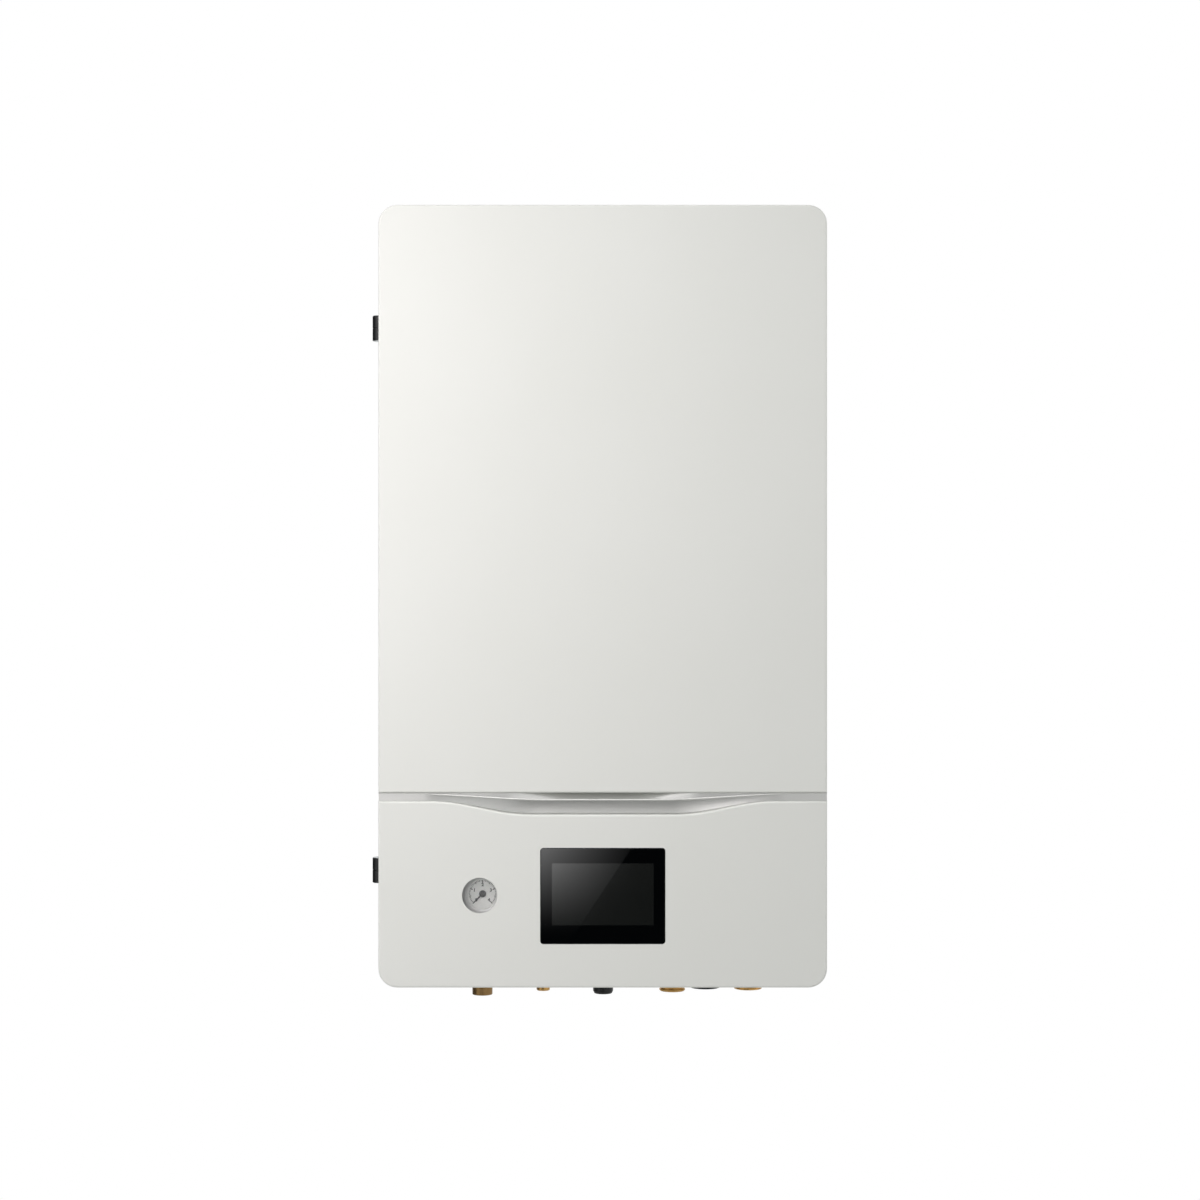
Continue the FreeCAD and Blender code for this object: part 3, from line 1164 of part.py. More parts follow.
keep("refrigerant_pipes", group(
    tube([
        (PORT_END - s.cup_depth, GAS_Y, HIGH_PIPE), (GAS_RISER, GAS_Y, HIGH_PIPE),
        (GAS_RISER, GAS_Y, gas_turn), (GAS_X, PIPE_Y, gas_turn), (GAS_X, PIPE_Y, CUP_FLOOR),
    ], s.gas_pipe, s.pipe_wall, s.gas_bend),
    tube([
        (PORT_END - s.cup_depth, GAS_Y, LOW_PIPE), (LIQUID_RISER, GAS_Y, LOW_PIPE),
        (LIQUID_RISER, GAS_Y, liquid_turn), (LIQUID_X, PIPE_Y, liquid_turn), (LIQUID_X, PIPE_Y, CUP_FLOOR),
    ], s.liquid_pipe, s.pipe_wall, s.liquid_bend),
))

# Expansion vessel, a flat round tank, and the tube down from it
vessel_spot = (VESSEL_X, TOP - s.vessel_drop)
vessel = s.vessel_diameter / 2
VESSEL_FRONT = PIPE_Y - s.vessel_depth / 2
VESSEL_BACK = PIPE_Y + s.vessel_depth / 2
shoulder = s.vessel_shoulder
vessel_low = TOP - s.vessel_drop - vessel
stub_low = vessel_low - s.port_length
vessel_line = (VESSEL_X, PIPE_Y)
tube_half = s.vessel_tube / 2
keep("expansion_vessel", cut(
    join(
        taper("y", (VESSEL_FRONT, VESSEL_FRONT + shoulder), vessel_spot, vessel - shoulder, vessel),
        rod("y", (VESSEL_FRONT + shoulder, VESSEL_BACK - shoulder), vessel_spot, vessel),
        taper("y", (VESSEL_BACK - shoulder, VESSEL_BACK), vessel_spot, vessel, vessel - shoulder),
        rod("y", (PIPE_Y - s.vessel_seam / 2, PIPE_Y + s.vessel_seam / 2), vessel_spot, vessel + s.vessel_seam / 2),
        rod("z", (stub_low, vessel_low + s.tank_wall), vessel_line, tube_half + s.cup_wall),
    ),
    taper("y", (VESSEL_FRONT + s.tank_wall, VESSEL_FRONT + shoulder), vessel_spot, vessel - shoulder, vessel - s.tank_wall),
    rod("y", (VESSEL_FRONT + shoulder, VESSEL_BACK - shoulder), vessel_spot, vessel - s.tank_wall),
    taper("y", (VESSEL_BACK - shoulder, VESSEL_BACK - s.tank_wall), vessel_spot, vessel - s.tank_wall, vessel - shoulder),
    rod("z", (stub_low - 1, vessel_low + shoulder), vessel_line, tube_half - s.pipe_wall),
    rod("z", (stub_low - 1, stub_low + s.cup_depth), vessel_line, tube_half),
))
saddle = rod("x", (EX_RIGHT, SUPPLY_X), (PIPE_Y, HIGH_PIPE), PIPE)
keep("vessel_pipe", cut(
    rod("z", (HIGH_PIPE, stub_low + s.cup_depth), vessel_line, tube_half), saddle,
    rod("z", (HIGH_PIPE, stub_low + s.cup_depth + 1), vessel_line, tube_half - s.pipe_wall),
))

# Brackets that carry the exchanger, the tank and the vessel on the back panel
bracket_half = s.carrier_width / 2
ex_middle = (LOW_PIPE + HIGH_PIPE) / 2
tank_carrier = box((SUPPLY_X - bracket_half, SUPPLY_X + bracket_half), (PIPE_Y, INSIDE_BACK),
                   (ex_middle - bracket_half, ex_middle + bracket_half))
keep("component_brackets", group(
    box((EXCHANGER_X - bracket_half, EXCHANGER_X + bracket_half), (EX_BACK, INSIDE_BACK),
        (ex_middle - bracket_half, ex_middle + bracket_half)),
    cut(tank_carrier, rod("z", (TANK_BOTTOM, TANK_TOP), tank_line, tank)),
    straight("y", (VESSEL_BACK, INSIDE_BACK), vessel_spot, s.carrier_width * 2, s.tank_wall),
))

# Automatic air vent on the upper pipe; its cap screws open
vent_line = (VENT_X, PIPE_Y)
vent_low = HIGH_PIPE + PIPE + s.vent_neck
vent_high = vent_low + s.vent_height
vent_nose = s.vent_nose / 2
keep("air_vent_body", cut(
    join(
        rod("z", (HIGH_PIPE, vent_low), vent_line, s.vent_neck - 1),
        hexagon("z", (vent_low - 8, vent_low), vent_line, s.liquid_flats),
        rod("z", (vent_low, vent_high), vent_line, s.vent_diameter / 2),
        rod("z", (vent_high, vent_high + 9), vent_line, vent_nose),
    ),
    rod("x", (EX_RIGHT, SUPPLY_X), (PIPE_Y, HIGH_PIPE), PIPE),
    rod("z", (HIGH_PIPE, vent_high - 3), vent_line, vent_nose - 2),
))
cap_low = vent_high + s.fit_gap
keep("air_vent_cap", cut(
    join(
        rod("z", (cap_low, cap_low + s.vent_cap), vent_line, vent_nose + 3),
        box((VENT_X - vent_nose - 4, VENT_X + vent_nose + 4), (PIPE_Y - 1, PIPE_Y + 1),
            (cap_low + 2, cap_low + s.vent_cap)),
    ),
    rod("z", (cap_low - 1, vent_high + 9.5), vent_line, vent_nose + s.running_gap),
))

# Safety valve under the lower pipe, with a knob to test it, and its discharge tube
valve_z = LOW_PIPE - s.valve_drop
bonnet = s.valve_bonnet / 2
valve_face = PIPE_Y - s.valve_reach
stem = s.valve_stem / 2
valve_spot = (DRAIN_X, valve_z)
outlet = valve_z - s.valve_outlet
keep("safety_valve_body", cut(
    join(
        rod("z", (valve_z, LOW_PIPE), drain_spot, tube_radius + 2),
        hexagon("z", (valve_z - bonnet, valve_z + bonnet), drain_spot, s.gas_flats),
        rod("y", (valve_face, PIPE_Y), valve_spot, bonnet),
        rod("z", (outlet, valve_z), drain_spot, tube_radius + 2),
    ),
    rod("x", (EX_RIGHT, RETURN_X), (PIPE_Y, LOW_PIPE), PIPE),
    rod("z", (outlet - 1, outlet + s.cup_depth), drain_spot, tube_radius),
    rod("y", (valve_face - 1, valve_face + s.stem_depth), valve_spot, stem + s.running_gap),
))
knob_back = valve_face - s.fit_gap
knob_front = knob_back - s.knob_length
keep("safety_valve_knob", join(
    hexagon("y", (knob_front + 4, knob_back), valve_spot, s.knob_flats),
    taper("y", (knob_front, knob_front + 4), valve_spot, s.knob_flats / 2 - 3, s.knob_flats / 2),
    rod("y", (knob_back - 1, valve_face + s.stem_depth - 1), valve_spot, stem),
))
keep("discharge_pipe", straight("z", (DRAIN_SEAT, outlet + s.cup_depth), drain_spot, s.discharge_tube, s.pipe_wall))

# Pressure gauge on its own bracket, read through the hole in the door
GAUGE_FRONT = FRONT + s.gauge_setback
gauge_spot = (GAUGE_X, GAUGE_Z)
LENS_FRONT = GAUGE_FRONT + s.bezel_depth
LENS_BACK = LENS_FRONT + s.lens_gauge
DIAL_FRONT = LENS_BACK + s.pointer_room
DIAL_BACK = DIAL_FRONT + s.dial_gauge
SHOULDER = GAUGE_FRONT + s.gauge_body
BRACKET_FRONT = CASE_FRONT + s.gauge_plate_gap
seat = s.dial_diameter / 2
spindle = s.pointer_spindle / 2
gauge_neck = s.gauge_neck / 2
NECK_END = BRACKET_FRONT + s.bracket_gauge + s.cup_depth
keep("gauge_case", cut(
    join(
        rod("y", (GAUGE_FRONT, SHOULDER), gauge_spot, s.gauge_diameter / 2),
        rod("y", (SHOULDER, BRACKET_FRONT), gauge_spot, s.gauge_diameter / 3),
        rod("y", (BRACKET_FRONT, NECK_END), gauge_spot, gauge_neck),
    ),
    taper("y", (GAUGE_FRONT, LENS_FRONT), gauge_spot, seat + 0.6, seat - s.bezel_lip),
    rod("y", (LENS_FRONT, DIAL_BACK), gauge_spot, seat),
    rod("y", (DIAL_BACK - 1, DIAL_BACK + s.stem_depth), gauge_spot, spindle + s.running_gap),
))
keep("gauge_lens", rod("y", (LENS_FRONT, LENS_BACK), gauge_spot, seat))
keep("gauge_dial", cut(
    rod("y", (DIAL_FRONT, DIAL_BACK), gauge_spot, seat),
    rod("y", (DIAL_FRONT - 1, DIAL_BACK + 1), gauge_spot, spindle + s.fit_gap),
))
pointer = new_body("gauge_pointer")
blade = new_sketch(pointer, "front", -(LENS_BACK + s.pointer_room * 0.65))
slant = math.sqrt(0.5)


def pointer_corner(reach, aside):
    """A corner of the pointer, which rests at zero, down and to the left."""
    return (GAUGE_X - slant * reach + slant * aside, GAUGE_Z - slant * reach - slant * aside)


draw_polygon(blade, [
    pointer_corner(-s.pointer_tail, -1.1), pointer_corner(s.pointer_reach, -0.3),
    pointer_corner(s.pointer_reach, 0.3), pointer_corner(-s.pointer_tail, 1.1),
])
pad(pointer, blade, s.pointer_room * 0.3)
hub = new_sketch(pointer, "front", -(LENS_BACK + s.pointer_room * 0.8))
draw_circle(hub, GAUGE_X, GAUGE_Z, s.pointer_hub / 2)
pad(pointer, hub, s.pointer_room * 0.6)
axle = new_sketch(pointer, "front", -(DIAL_BACK + s.stem_depth - 1))
draw_circle(axle, GAUGE_X, GAUGE_Z, spindle)
pad(pointer, axle, s.stem_depth - 1 + s.dial_gauge + s.pointer_room / 2)

plate_half = s.gauge_plate / 2
keep("gauge_bracket", cut(
    join(
        box((GAUGE_X - plate_half, GAUGE_X + plate_half), (BRACKET_FRONT, BRACKET_FRONT + s.bracket_gauge),
            (FLOOR, GAUGE_Z + plate_half)),
        box((GAUGE_X - plate_half, GAUGE_X + plate_half), (BRACKET_FRONT, BRACKET_FRONT + s.gauge_foot),
            (FLOOR, FLOOR + s.bracket_gauge)),
    ),
    rod("y", (BRACKET_FRONT - 1, NECK_END), gauge_spot, gauge_neck + s.fit_gap),
))
TAP_FRONT = PIPE_Y - PIPE - s.port_length
turn_y = NECK_END + s.capillary_run
tap = cut(
    rod("y", (TAP_FRONT, PIPE_Y), (TAP_X, LOW_PIPE), s.capillary * 1.8),
    rod("x", (EX_RIGHT, RETURN_X), (PIPE_Y, LOW_PIPE), PIPE),
)
capillary = tube([
    (GAUGE_X, NECK_END, GAUGE_Z), (GAUGE_X, turn_y, GAUGE_Z), (TAP_X, turn_y, GAUGE_Z),
    (TAP_X, turn_y, LOW_PIPE), (TAP_X, TAP_FRONT, LOW_PIPE),
], s.capillary, 0.8, s.capillary_bend)
keep("gauge_capillary", group(tap, capillary))

# Control box across the top of the casing, hung from the side panels
box_x = INSIDE_RIGHT - s.hinge_leaf - s.control_gap
CONTROL_FRONT = HINGE_Y + BARREL + s.control_setback
CONTROL_BACK = VESSEL_FRONT - s.control_clear
control_low = BOTTOM + s.control_height
control_high = control_low + s.control_tall
gauge = s.sheet_gauge
tray = [box((-box_x, box_x), (CONTROL_FRONT, CONTROL_BACK), (control_low, control_high))]
tab_z = (control_low + s.control_tall / 2 - s.control_tab, control_low + s.control_tall / 2 + s.control_tab)
for span in ((INSIDE_LEFT, -box_x + gauge), (box_x - gauge, INSIDE_RIGHT)):
    tray.append(box(span, (CONTROL_BACK - s.control_tab, CONTROL_BACK), tab_z))
tray_room = box((-box_x + gauge, box_x - gauge), (CONTROL_FRONT - 1, CONTROL_BACK - gauge),
                (control_low + gauge, control_high - gauge))
cable_slots = [
    box((x - s.slot_width / 2, x + s.slot_width / 2), (CONTROL_FRONT + 25, CONTROL_FRONT + 50),
        (control_low - 1, control_low + 2 * gauge))
    for x in (CABLE_X, -CABLE_X)
]
keep("control_box", cut(join(*tray), tray_room, *cable_slots))

# Its cover, with cooling slots and a hole for the reset button
reset_z = control_low + s.reset_height
button = s.reset_button / 2
cover = new_body("control_box_cover")
cover_face = new_sketch(cover, "front", -CONTROL_FRONT)
draw_rectangle(cover_face, (-box_x, box_x), (control_low, control_high), s.bracket_corner)
pad(cover, cover_face, gauge)
cover_holes = new_sketch(cover, "front", -CONTROL_FRONT + 2 * gauge)
draw_circle(cover_holes, RESET_X, reset_z, button + s.fit_gap)
for row in range(6):
    draw_slot(cover_holes, 0, control_high - s.slot_pitch * (row + 3), s.slot_width, s.slot_height)
pocket(cover, cover_holes, 4 * gauge)

# Main circuit board on its pillars, with relays and coils, and the terminals beside it
TRAY_BACK = CONTROL_BACK - gauge
BOARD_BACK = TRAY_BACK - s.board_gap
BOARD_FACE = BOARD_BACK - s.board_gauge
board_z = (control_low + s.board_margin, control_high - s.board_margin)
rail_x = (box_x - s.board_margin - s.terminal_count * s.terminal_pitch, box_x - s.board_margin)
board_x = (-box_x + s.board_margin, rail_x[0] - s.board_margin)
board = [box(board_x, (BOARD_FACE, BOARD_BACK), board_z)]
for x in (board_x[0] + 8, board_x[1] - 8):
    for z in (board_z[0] + 8, board_z[1] - 8):
        board.append(rod("y", (BOARD_BACK, TRAY_BACK), (x, z), 4))
for column in range(5):
    low_x = board_x[0] + 25 + column * s.relay_pitch
    board.append(box((low_x, low_x + s.relay_width), (BOARD_FACE - s.relay_rise, BOARD_FACE),
                     (board_z[0] + 14, board_z[0] + 14 + s.relay_length)))
coil_z = board_z[1] - s.coil_diameter
for place_x in (board_x[0] + 2 * s.relay_pitch, board_x[0] + 4 * s.relay_pitch):
    board.append(rod("y", (BOARD_FACE - s.relay_rise * 1.4, BOARD_FACE), (place_x, coil_z), s.coil_diameter / 2))
keep("main_board", join(*board))
rail_z = (control_low + s.board_margin, control_low + s.board_margin + s.terminal_height)
terminals = [box(rail_x, (TRAY_BACK - s.board_gap, TRAY_BACK), rail_z)]
for index in range(int(s.terminal_count.value)):
    low_x = rail_x[0] + index * s.terminal_pitch
    terminals.append(box((low_x, low_x + s.terminal_pitch - 1), (TRAY_BACK - s.terminal_depth, TRAY_BACK - s.board_gap),
                         rail_z))
keep("terminal_blocks", join(*terminals))

# Overheat cut-out behind the cover, and the button that resets it
half_cutout = s.cutout_width / 2
keep("thermal_cutout", cut(
    box((RESET_X - half_cutout, RESET_X + half_cutout), (CONTROL_FRONT, CONTROL_FRONT + s.cutout_width),
        (reset_z - half_cutout, reset_z + half_cutout)),
    rod("y", (CONTROL_FRONT - 1, CONTROL_FRONT + s.stem_depth + s.reset_stroke + 1), (RESET_X, reset_z),
        button + s.running_gap),
))
keep("reset_button", rod("y", (CONTROL_FRONT - gauge - s.reset_rise, CONTROL_FRONT + s.stem_depth),
                         (RESET_X, reset_z), button))

# Screws through the side panels' folds into the top and the bottom
screws = []
for x in SCREW_X:
    for y in SCREW_Y:
        for face, outward in ((TOP, 1), (BOTTOM, -1)):
            ends = sorted((face, face + outward * s.screw_head), key=lambda size: size.value)
            head = rod("z", ends, (x, y), s.screw_size)
            ends = sorted((face, face - outward * s.screw_length), key=lambda size: size.value)
            screws.append(join(head, rod("z", ends, (x, y), s.screw_size / 2)))
keep("case_screws", group(*screws))

# Check every object, then write each sub-part
doc.recompute()
for item in doc.Objects:
    if "Invalid" in item.State or "Error" in item.State:
        raise RuntimeError(f"{item.Label} failed: {item.State}")
os.makedirs("parts", exist_ok=True)
for label, piece in parts.items():
    shape = piece.Shape
    if shape.isNull() or not shape.isValid() or not shape.Solids:
        raise RuntimeError(f"{label} has no valid solid")
    shape.exportStep(f"parts/{label}.step")
print(len(parts), "sub-parts,", sum(len(p.Shape.Solids) for p in parts.values()), "solids")
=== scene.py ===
# %% [markdown]
# A wall-hung heat pump unit, dressed for its photograph.
#
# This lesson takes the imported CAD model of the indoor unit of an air-to-water heat pump and gives it
# the surfaces that the photograph shows: satin white powder coat, a silver finger grip, a black glass
# display, a small pressure gauge and a row of brass fittings below. Behind the door there is a whole
# hydraulic set, and it gets the same care.
# The CAD solids carry the size and the joints, so most of them stay as they are and only get finer
# edges and a real finish. A piece is built again in mesh code where the real one has a form that the
# solids only hint at: the twist of the grip's lip, screw threads, moulded ribs and the printed dial.

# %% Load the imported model
import math

import bmesh
import bpy
from mathutils import Matrix, Vector


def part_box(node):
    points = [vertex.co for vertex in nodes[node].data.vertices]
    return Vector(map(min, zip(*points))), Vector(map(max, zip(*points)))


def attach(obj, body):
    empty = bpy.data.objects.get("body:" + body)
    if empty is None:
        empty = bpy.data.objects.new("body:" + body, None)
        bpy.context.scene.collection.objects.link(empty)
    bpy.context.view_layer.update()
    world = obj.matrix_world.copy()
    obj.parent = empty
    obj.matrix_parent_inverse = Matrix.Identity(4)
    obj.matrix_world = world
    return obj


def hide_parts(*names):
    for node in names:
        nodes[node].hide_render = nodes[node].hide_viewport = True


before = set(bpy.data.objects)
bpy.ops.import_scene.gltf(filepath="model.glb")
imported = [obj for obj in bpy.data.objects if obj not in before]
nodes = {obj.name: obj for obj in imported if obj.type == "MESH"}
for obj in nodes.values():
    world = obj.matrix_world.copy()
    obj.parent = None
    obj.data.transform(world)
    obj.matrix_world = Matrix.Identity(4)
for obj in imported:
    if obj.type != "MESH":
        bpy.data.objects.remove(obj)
scene = bpy.context.scene
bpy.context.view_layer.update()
MM = 0.001

# %% [markdown]
# Every length below is written in millimetres, as on the drawing, and goes through `MM` once. The CAD
# frame has x to the right, y into the wall and z up. Its origin is the middle of the wall bracket's
# screws, so the front of the door lies at y = -310 and the unit's top edge at z = 75.

# %% Colours and shader nodes
def colour(text):
    """An sRGB hex value as the linear colour that shaders work in."""
    channels = [int(text[i:i + 2], 16) / 255 for i in (1, 3, 5)]
    linear = [c / 12.92 if c <= 0.04045 else ((c + 0.055) / 1.055) ** 2.4 for c in channels]
    return (*linear, 1.0)


def add(tree, kind, inputs=None, onward=None, **settings):
    """Adds one node. An input takes another node's output, which is linked, or a plain value.
    Onward says which later inputs its own outputs go to."""
    node = tree.nodes.new(kind)
    for name, value in settings.items():
        setattr(node, name, value)
    for socket, value in (inputs or {}).items():
        if isinstance(value, bpy.types.NodeSocket):
            tree.links.new(value, node.inputs[socket])
        else:
            node.inputs[socket].default_value = value
    for output, target in (onward or {}).items():
        tree.links.new(node.outputs[output], target)
    return node


print("middle grey in linear light:", [round(v, 3) for v in colour("#808080")[:3]])

# %% [markdown]
# The photograph is taken square to the front from about 2.4 m, so the sides of the casing don't show at
# all. A frame of 1200 by 1200 pixels covers 1203 mm at the door, which gives the lens. The pipe ends,
# 200 mm behind the door, show that the camera stood a little left of the middle, so the frame is shifted
# back by the same few centimetres and by no more.

# %% Camera
DOOR_FRONT = -310
CAMERA_DISTANCE = 2400
FRAME_WIDTH = 1202.6
FRAME_MIDDLE_X = -2.8
CAMERA_X, CAMERA_Z = -32, -321.3
SENSOR = 36

camera_data = bpy.data.cameras.new("photo_camera")
camera_data.sensor_width = SENSOR
camera_data.lens = SENSOR * CAMERA_DISTANCE / FRAME_WIDTH
camera_data.shift_x = (FRAME_MIDDLE_X - CAMERA_X) / FRAME_WIDTH
camera = bpy.data.objects.new("photo_camera", camera_data)
camera.location = Vector((CAMERA_X, DOOR_FRONT - CAMERA_DISTANCE, CAMERA_Z)) * MM
camera.rotation_euler = (math.radians(90), 0, 0)
scene.collection.objects.link(camera)
scene.camera = camera
print("lens", round(camera_data.lens, 2), "mm, camera at", [round(v, 4) for v in camera.location])

# %% [markdown]
# The stage. The unit was photographed alone on pure white, so the world is white to the camera and to
# mirror rays, and a soft grey to everything else, which keeps the light on the panels at a plain level.
# The light comes from a large soft box at the upper left: the door is brightest there and falls off by
# a third towards the lower right. A second one, high in front, lifts the top and the door's upper part.
# Two lamps behind the front plane light the right side and the back without touching the door. The floor
# is far enough down that it only shows in the other views.

# %% World
AMBIENT = 0.46
world = bpy.data.worlds.new("studio_white")
scene.world = world
world.use_nodes = True
tree = world.node_tree
tree.nodes.clear()
path = add(tree, "ShaderNodeLightPath")
seen = add(tree, "ShaderNodeMath", {0: path.outputs["Is Camera Ray"], 1: path.outputs["Is Glossy Ray"]},
           operation="MAXIMUM")
shown = add(tree, "ShaderNodeMath", {0: seen.outputs[0], 1: path.outputs["Is Transmission Ray"]},
            operation="MAXIMUM")
ambient = add(tree, "ShaderNodeBackground", {"Color": colour("#F6F7F8"), "Strength": AMBIENT})
white = add(tree, "ShaderNodeBackground", {"Color": (1, 1, 1, 1), "Strength": 1.0})
blend = add(tree, "ShaderNodeMixShader",
            {0: shown.outputs[0], 1: ambient.outputs[0], 2: white.outputs[0]})
add(tree, "ShaderNodeOutputWorld", {"Surface": blend.outputs[0]})
scene.view_settings.view_transform = "Standard"
print("world nodes:", len(tree.nodes), "view:", scene.view_settings.view_transform)


# %% Lamps
def soft_box(name, place, aim, size, power, tint="#FFFFFF"):
    """A square area lamp at one place, turned to another, of a size in mm and a power in watts."""
    data = bpy.data.lights.new(name, "AREA")
    data.size = size * MM
    data.energy = power
    data.color = colour(tint)[:3]
    lamp = bpy.data.objects.new(name, data)
    lamp.location = Vector(place) * MM
    lamp.rotation_euler = (Vector(aim) - Vector(place)).to_track_quat("-Z", "Y").to_euler()
    lamp.visible_camera = False
    scene.collection.objects.link(lamp)
    return lamp


lamps = [
    soft_box("key_upper_left", (-740, -1060, -20), (-450, -310, -360), 1200, 9.8, "#FFF9FB"),
    soft_box("side_right", (2000, -100, 200), (0, -100, -300), 1400, 10),
    soft_box("behind", (0, 2300, 500), (0, 0, -300), 1600, 40),
    soft_box("above", (100, -750, 1800), (0, -250, 0), 1200, 17.5),
]
# The back is bare zinc-coated steel, which would mirror the lamp behind it as a glare.
bpy.data.objects["behind"].visible_glossy = False
print("lamps:", [(lamp.name, lamp.data.energy) for lamp in lamps])

# %% Floor
FLOOR = -1900
PAPER_EDGE, PAPER_FADE = 3400, 1500
PAPER_GLOW = 0.2
RIM_POINTS = 96
floor_mesh = bpy.data.meshes.new("studio_floor")
turns = [math.radians(360 * k / RIM_POINTS) for k in range(RIM_POINTS)]
rim = [Vector((PAPER_EDGE * math.cos(turn), PAPER_EDGE * math.sin(turn), FLOOR)) * MM for turn in turns]
floor_mesh.from_pydata(rim, [], [tuple(range(len(rim)))])
floor = bpy.data.objects.new("studio_floor", floor_mesh)
scene.collection.objects.link(floor)
paper = bpy.data.materials.new("matt_studio_paper")
paper.use_nodes = True
tree = paper.node_tree
sheet = tree.nodes["Principled BSDF"]
sheet.inputs["Base Color"].default_value = colour("#F2F2EF")
sheet.inputs["Roughness"].default_value = 0.9
sheet.inputs["Emission Color"].default_value = (1, 1, 1, 1)
spot = add(tree, "ShaderNodeNewGeometry")
away = add(tree, "ShaderNodeVectorMath", {0: spot.outputs["Position"], 1: (0, 0, FLOOR * MM)},
           operation="DISTANCE")
# Seen from below, the paper is clear, so that it never stands between the camera and the unit.
upper = add(tree, "ShaderNodeMath", {0: 1.0, 1: spot.outputs["Backfacing"]}, operation="SUBTRACT")
add(tree, "ShaderNodeMapRange", {"Value": away.outputs["Value"], "From Min": PAPER_FADE * MM,
                                 "From Max": PAPER_EDGE * MM, "To Min": upper.outputs[0], "To Max": 0.0},
    {0: sheet.inputs["Alpha"]}, interpolation_type="SMOOTHSTEP")
eye = add(tree, "ShaderNodeLightPath")
add(tree, "ShaderNodeMath", {0: eye.outputs["Is Camera Ray"], 1: PAPER_GLOW},
    {0: sheet.inputs["Emission Strength"]}, operation="MULTIPLY")
floor_mesh.materials.append(paper)
print("floor at", FLOOR, "mm, fading out at", PAPER_EDGE)

# %% [markdown]
# Finishes. Each material begins with what the real surface is and how it was made, because that decides
# what the eye gets: how wide the highlight is, how far the tone wanders and which small relief breaks it.
# Colours are written as sRGB hex, and every pattern is placed in object space, so that it stays on its
# piece when the door swings. `every(mm)` turns the spacing of a pattern into a texture scale, and
# `bands(mm)` does so for wave textures, which count in radians.

# %% Starting a finish
# Blender's wave texture runs through this many radians for each unit of length.
WAVE_RATE = 20


def every(mm):
    """Texture scale at which one feature of a pattern measures this many millimetres."""
    return 1 / (mm * MM)


def bands(mm):
    """Scale of a wave texture at which its bands repeat every so many millimetres."""
    return math.tau / (WAVE_RATE * mm * MM)


def start(name, **sockets):
    """A new material with constant values on its shader: the material, its tree, shader and place."""
    material = bpy.data.materials.new(name)
    material.use_nodes = True
    tree = material.node_tree
    shader = tree.nodes["Principled BSDF"]
    for socket, value in sockets.items():
        shader.inputs[socket.replace("_", " ")].default_value = value
    place = add(tree, "ShaderNodeTexCoord").outputs["Object"]
    print("finish:", name)
    return material, tree, shader, place


def wander(tree, shader, tone, gloss, tones, roughness, depth_mm=0.0, strength=0.0):
    """Lets patterns drive a finish. One moves its tone between two colours, and one its roughness.
    The second also gives its relief, of a depth in millimetres."""
    add(tree, "ShaderNodeMix", {0: tone, 6: colour(tones[0]), 7: colour(tones[1])},
        {2: shader.inputs["Base Color"]}, data_type="RGBA")
    add(tree, "ShaderNodeMapRange", {"Value": gloss, "To Min": roughness[0], "To Max": roughness[1]},
        {0: shader.inputs["Roughness"]})
    if depth_mm:
        add(tree, "ShaderNodeBump", {"Height": gloss, "Strength": strength, "Distance": depth_mm * MM},
            {0: shader.inputs["Normal"]})


print("one feature per millimetre is scale", every(1))

# %% Powder-coated sheet steel, satin warm white
# Polyester powder melts to a skin with a faint orange peel, about 2 mm from crest to crest. It gives a
# broad soft highlight and hardly any mottling, so the tone wanders by one step only.
powder_coat, tree, shader, place = start("powder_coated_steel", IOR=1.5)
cloud = add(tree, "ShaderNodeTexNoise", {"Vector": place, "Scale": every(160), "Detail": 2.0})
peel = add(tree, "ShaderNodeTexNoise", {"Vector": place, "Scale": every(2.2), "Detail": 2.0})
wander(tree, shader, cloud.outputs[0], peel.outputs[0], ("#DDDFD9", "#E1E3DE"), (0.36, 0.46), 0.02, 0.35)

# %% Hot-dip galvanised sheet
# Zinc freezes in flat crystals some 8 mm across, each with its own tilt, so neighbours differ in tone
# and in gloss.
galvanised, tree, shader, place = start("galvanised_sheet", Metallic=1.0)
spangle = add(tree, "ShaderNodeTexVoronoi", {"Vector": place, "Scale": every(8)})
crystal = add(tree, "ShaderNodeSeparateColor", {0: spangle.outputs["Color"]})
wander(tree, shader, crystal.outputs[0], crystal.outputs[2],
       ("#9DA2A5", "#B5B9BB"), (0.34, 0.52), 0.01, 0.2)

# %% Silver-painted ABS
# Aluminium flakes of about 0.05 mm in a clear lacquer. They are drawn at 0.7 mm, the least that shows,
# and make the gloss sparkle a little without lines.
silver_paint, tree, shader, place = start("silver_painted_abs", Metallic=0.6, Coat_Weight=0.25,
                                          Coat_Roughness=0.2)
flake = add(tree, "ShaderNodeTexNoise", {"Vector": place, "Scale": every(0.7), "Detail": 1.0})
wander(tree, shader, flake.outputs[0], flake.outputs[0], ("#C3C4C1", "#CDCECB"), (0.27, 0.33), 0.01, 0.2)

# %% Moulded black nylon
# Glass-filled nylon from a spark-eroded mould: deep charcoal, with a fine grain of about 0.6 mm and a sheen.
black_nylon, tree, shader, place = start("moulded_black_nylon", Specular_IOR_Level=0.3)
grain = add(tree, "ShaderNodeTexNoise", {"Vector": place, "Scale": every(0.6), "Detail": 2.0})
wander(tree, shader, grain.outputs[0], grain.outputs[0], ("#0E0F10", "#17191A"), (0.3, 0.42), 0.03, 0.4)

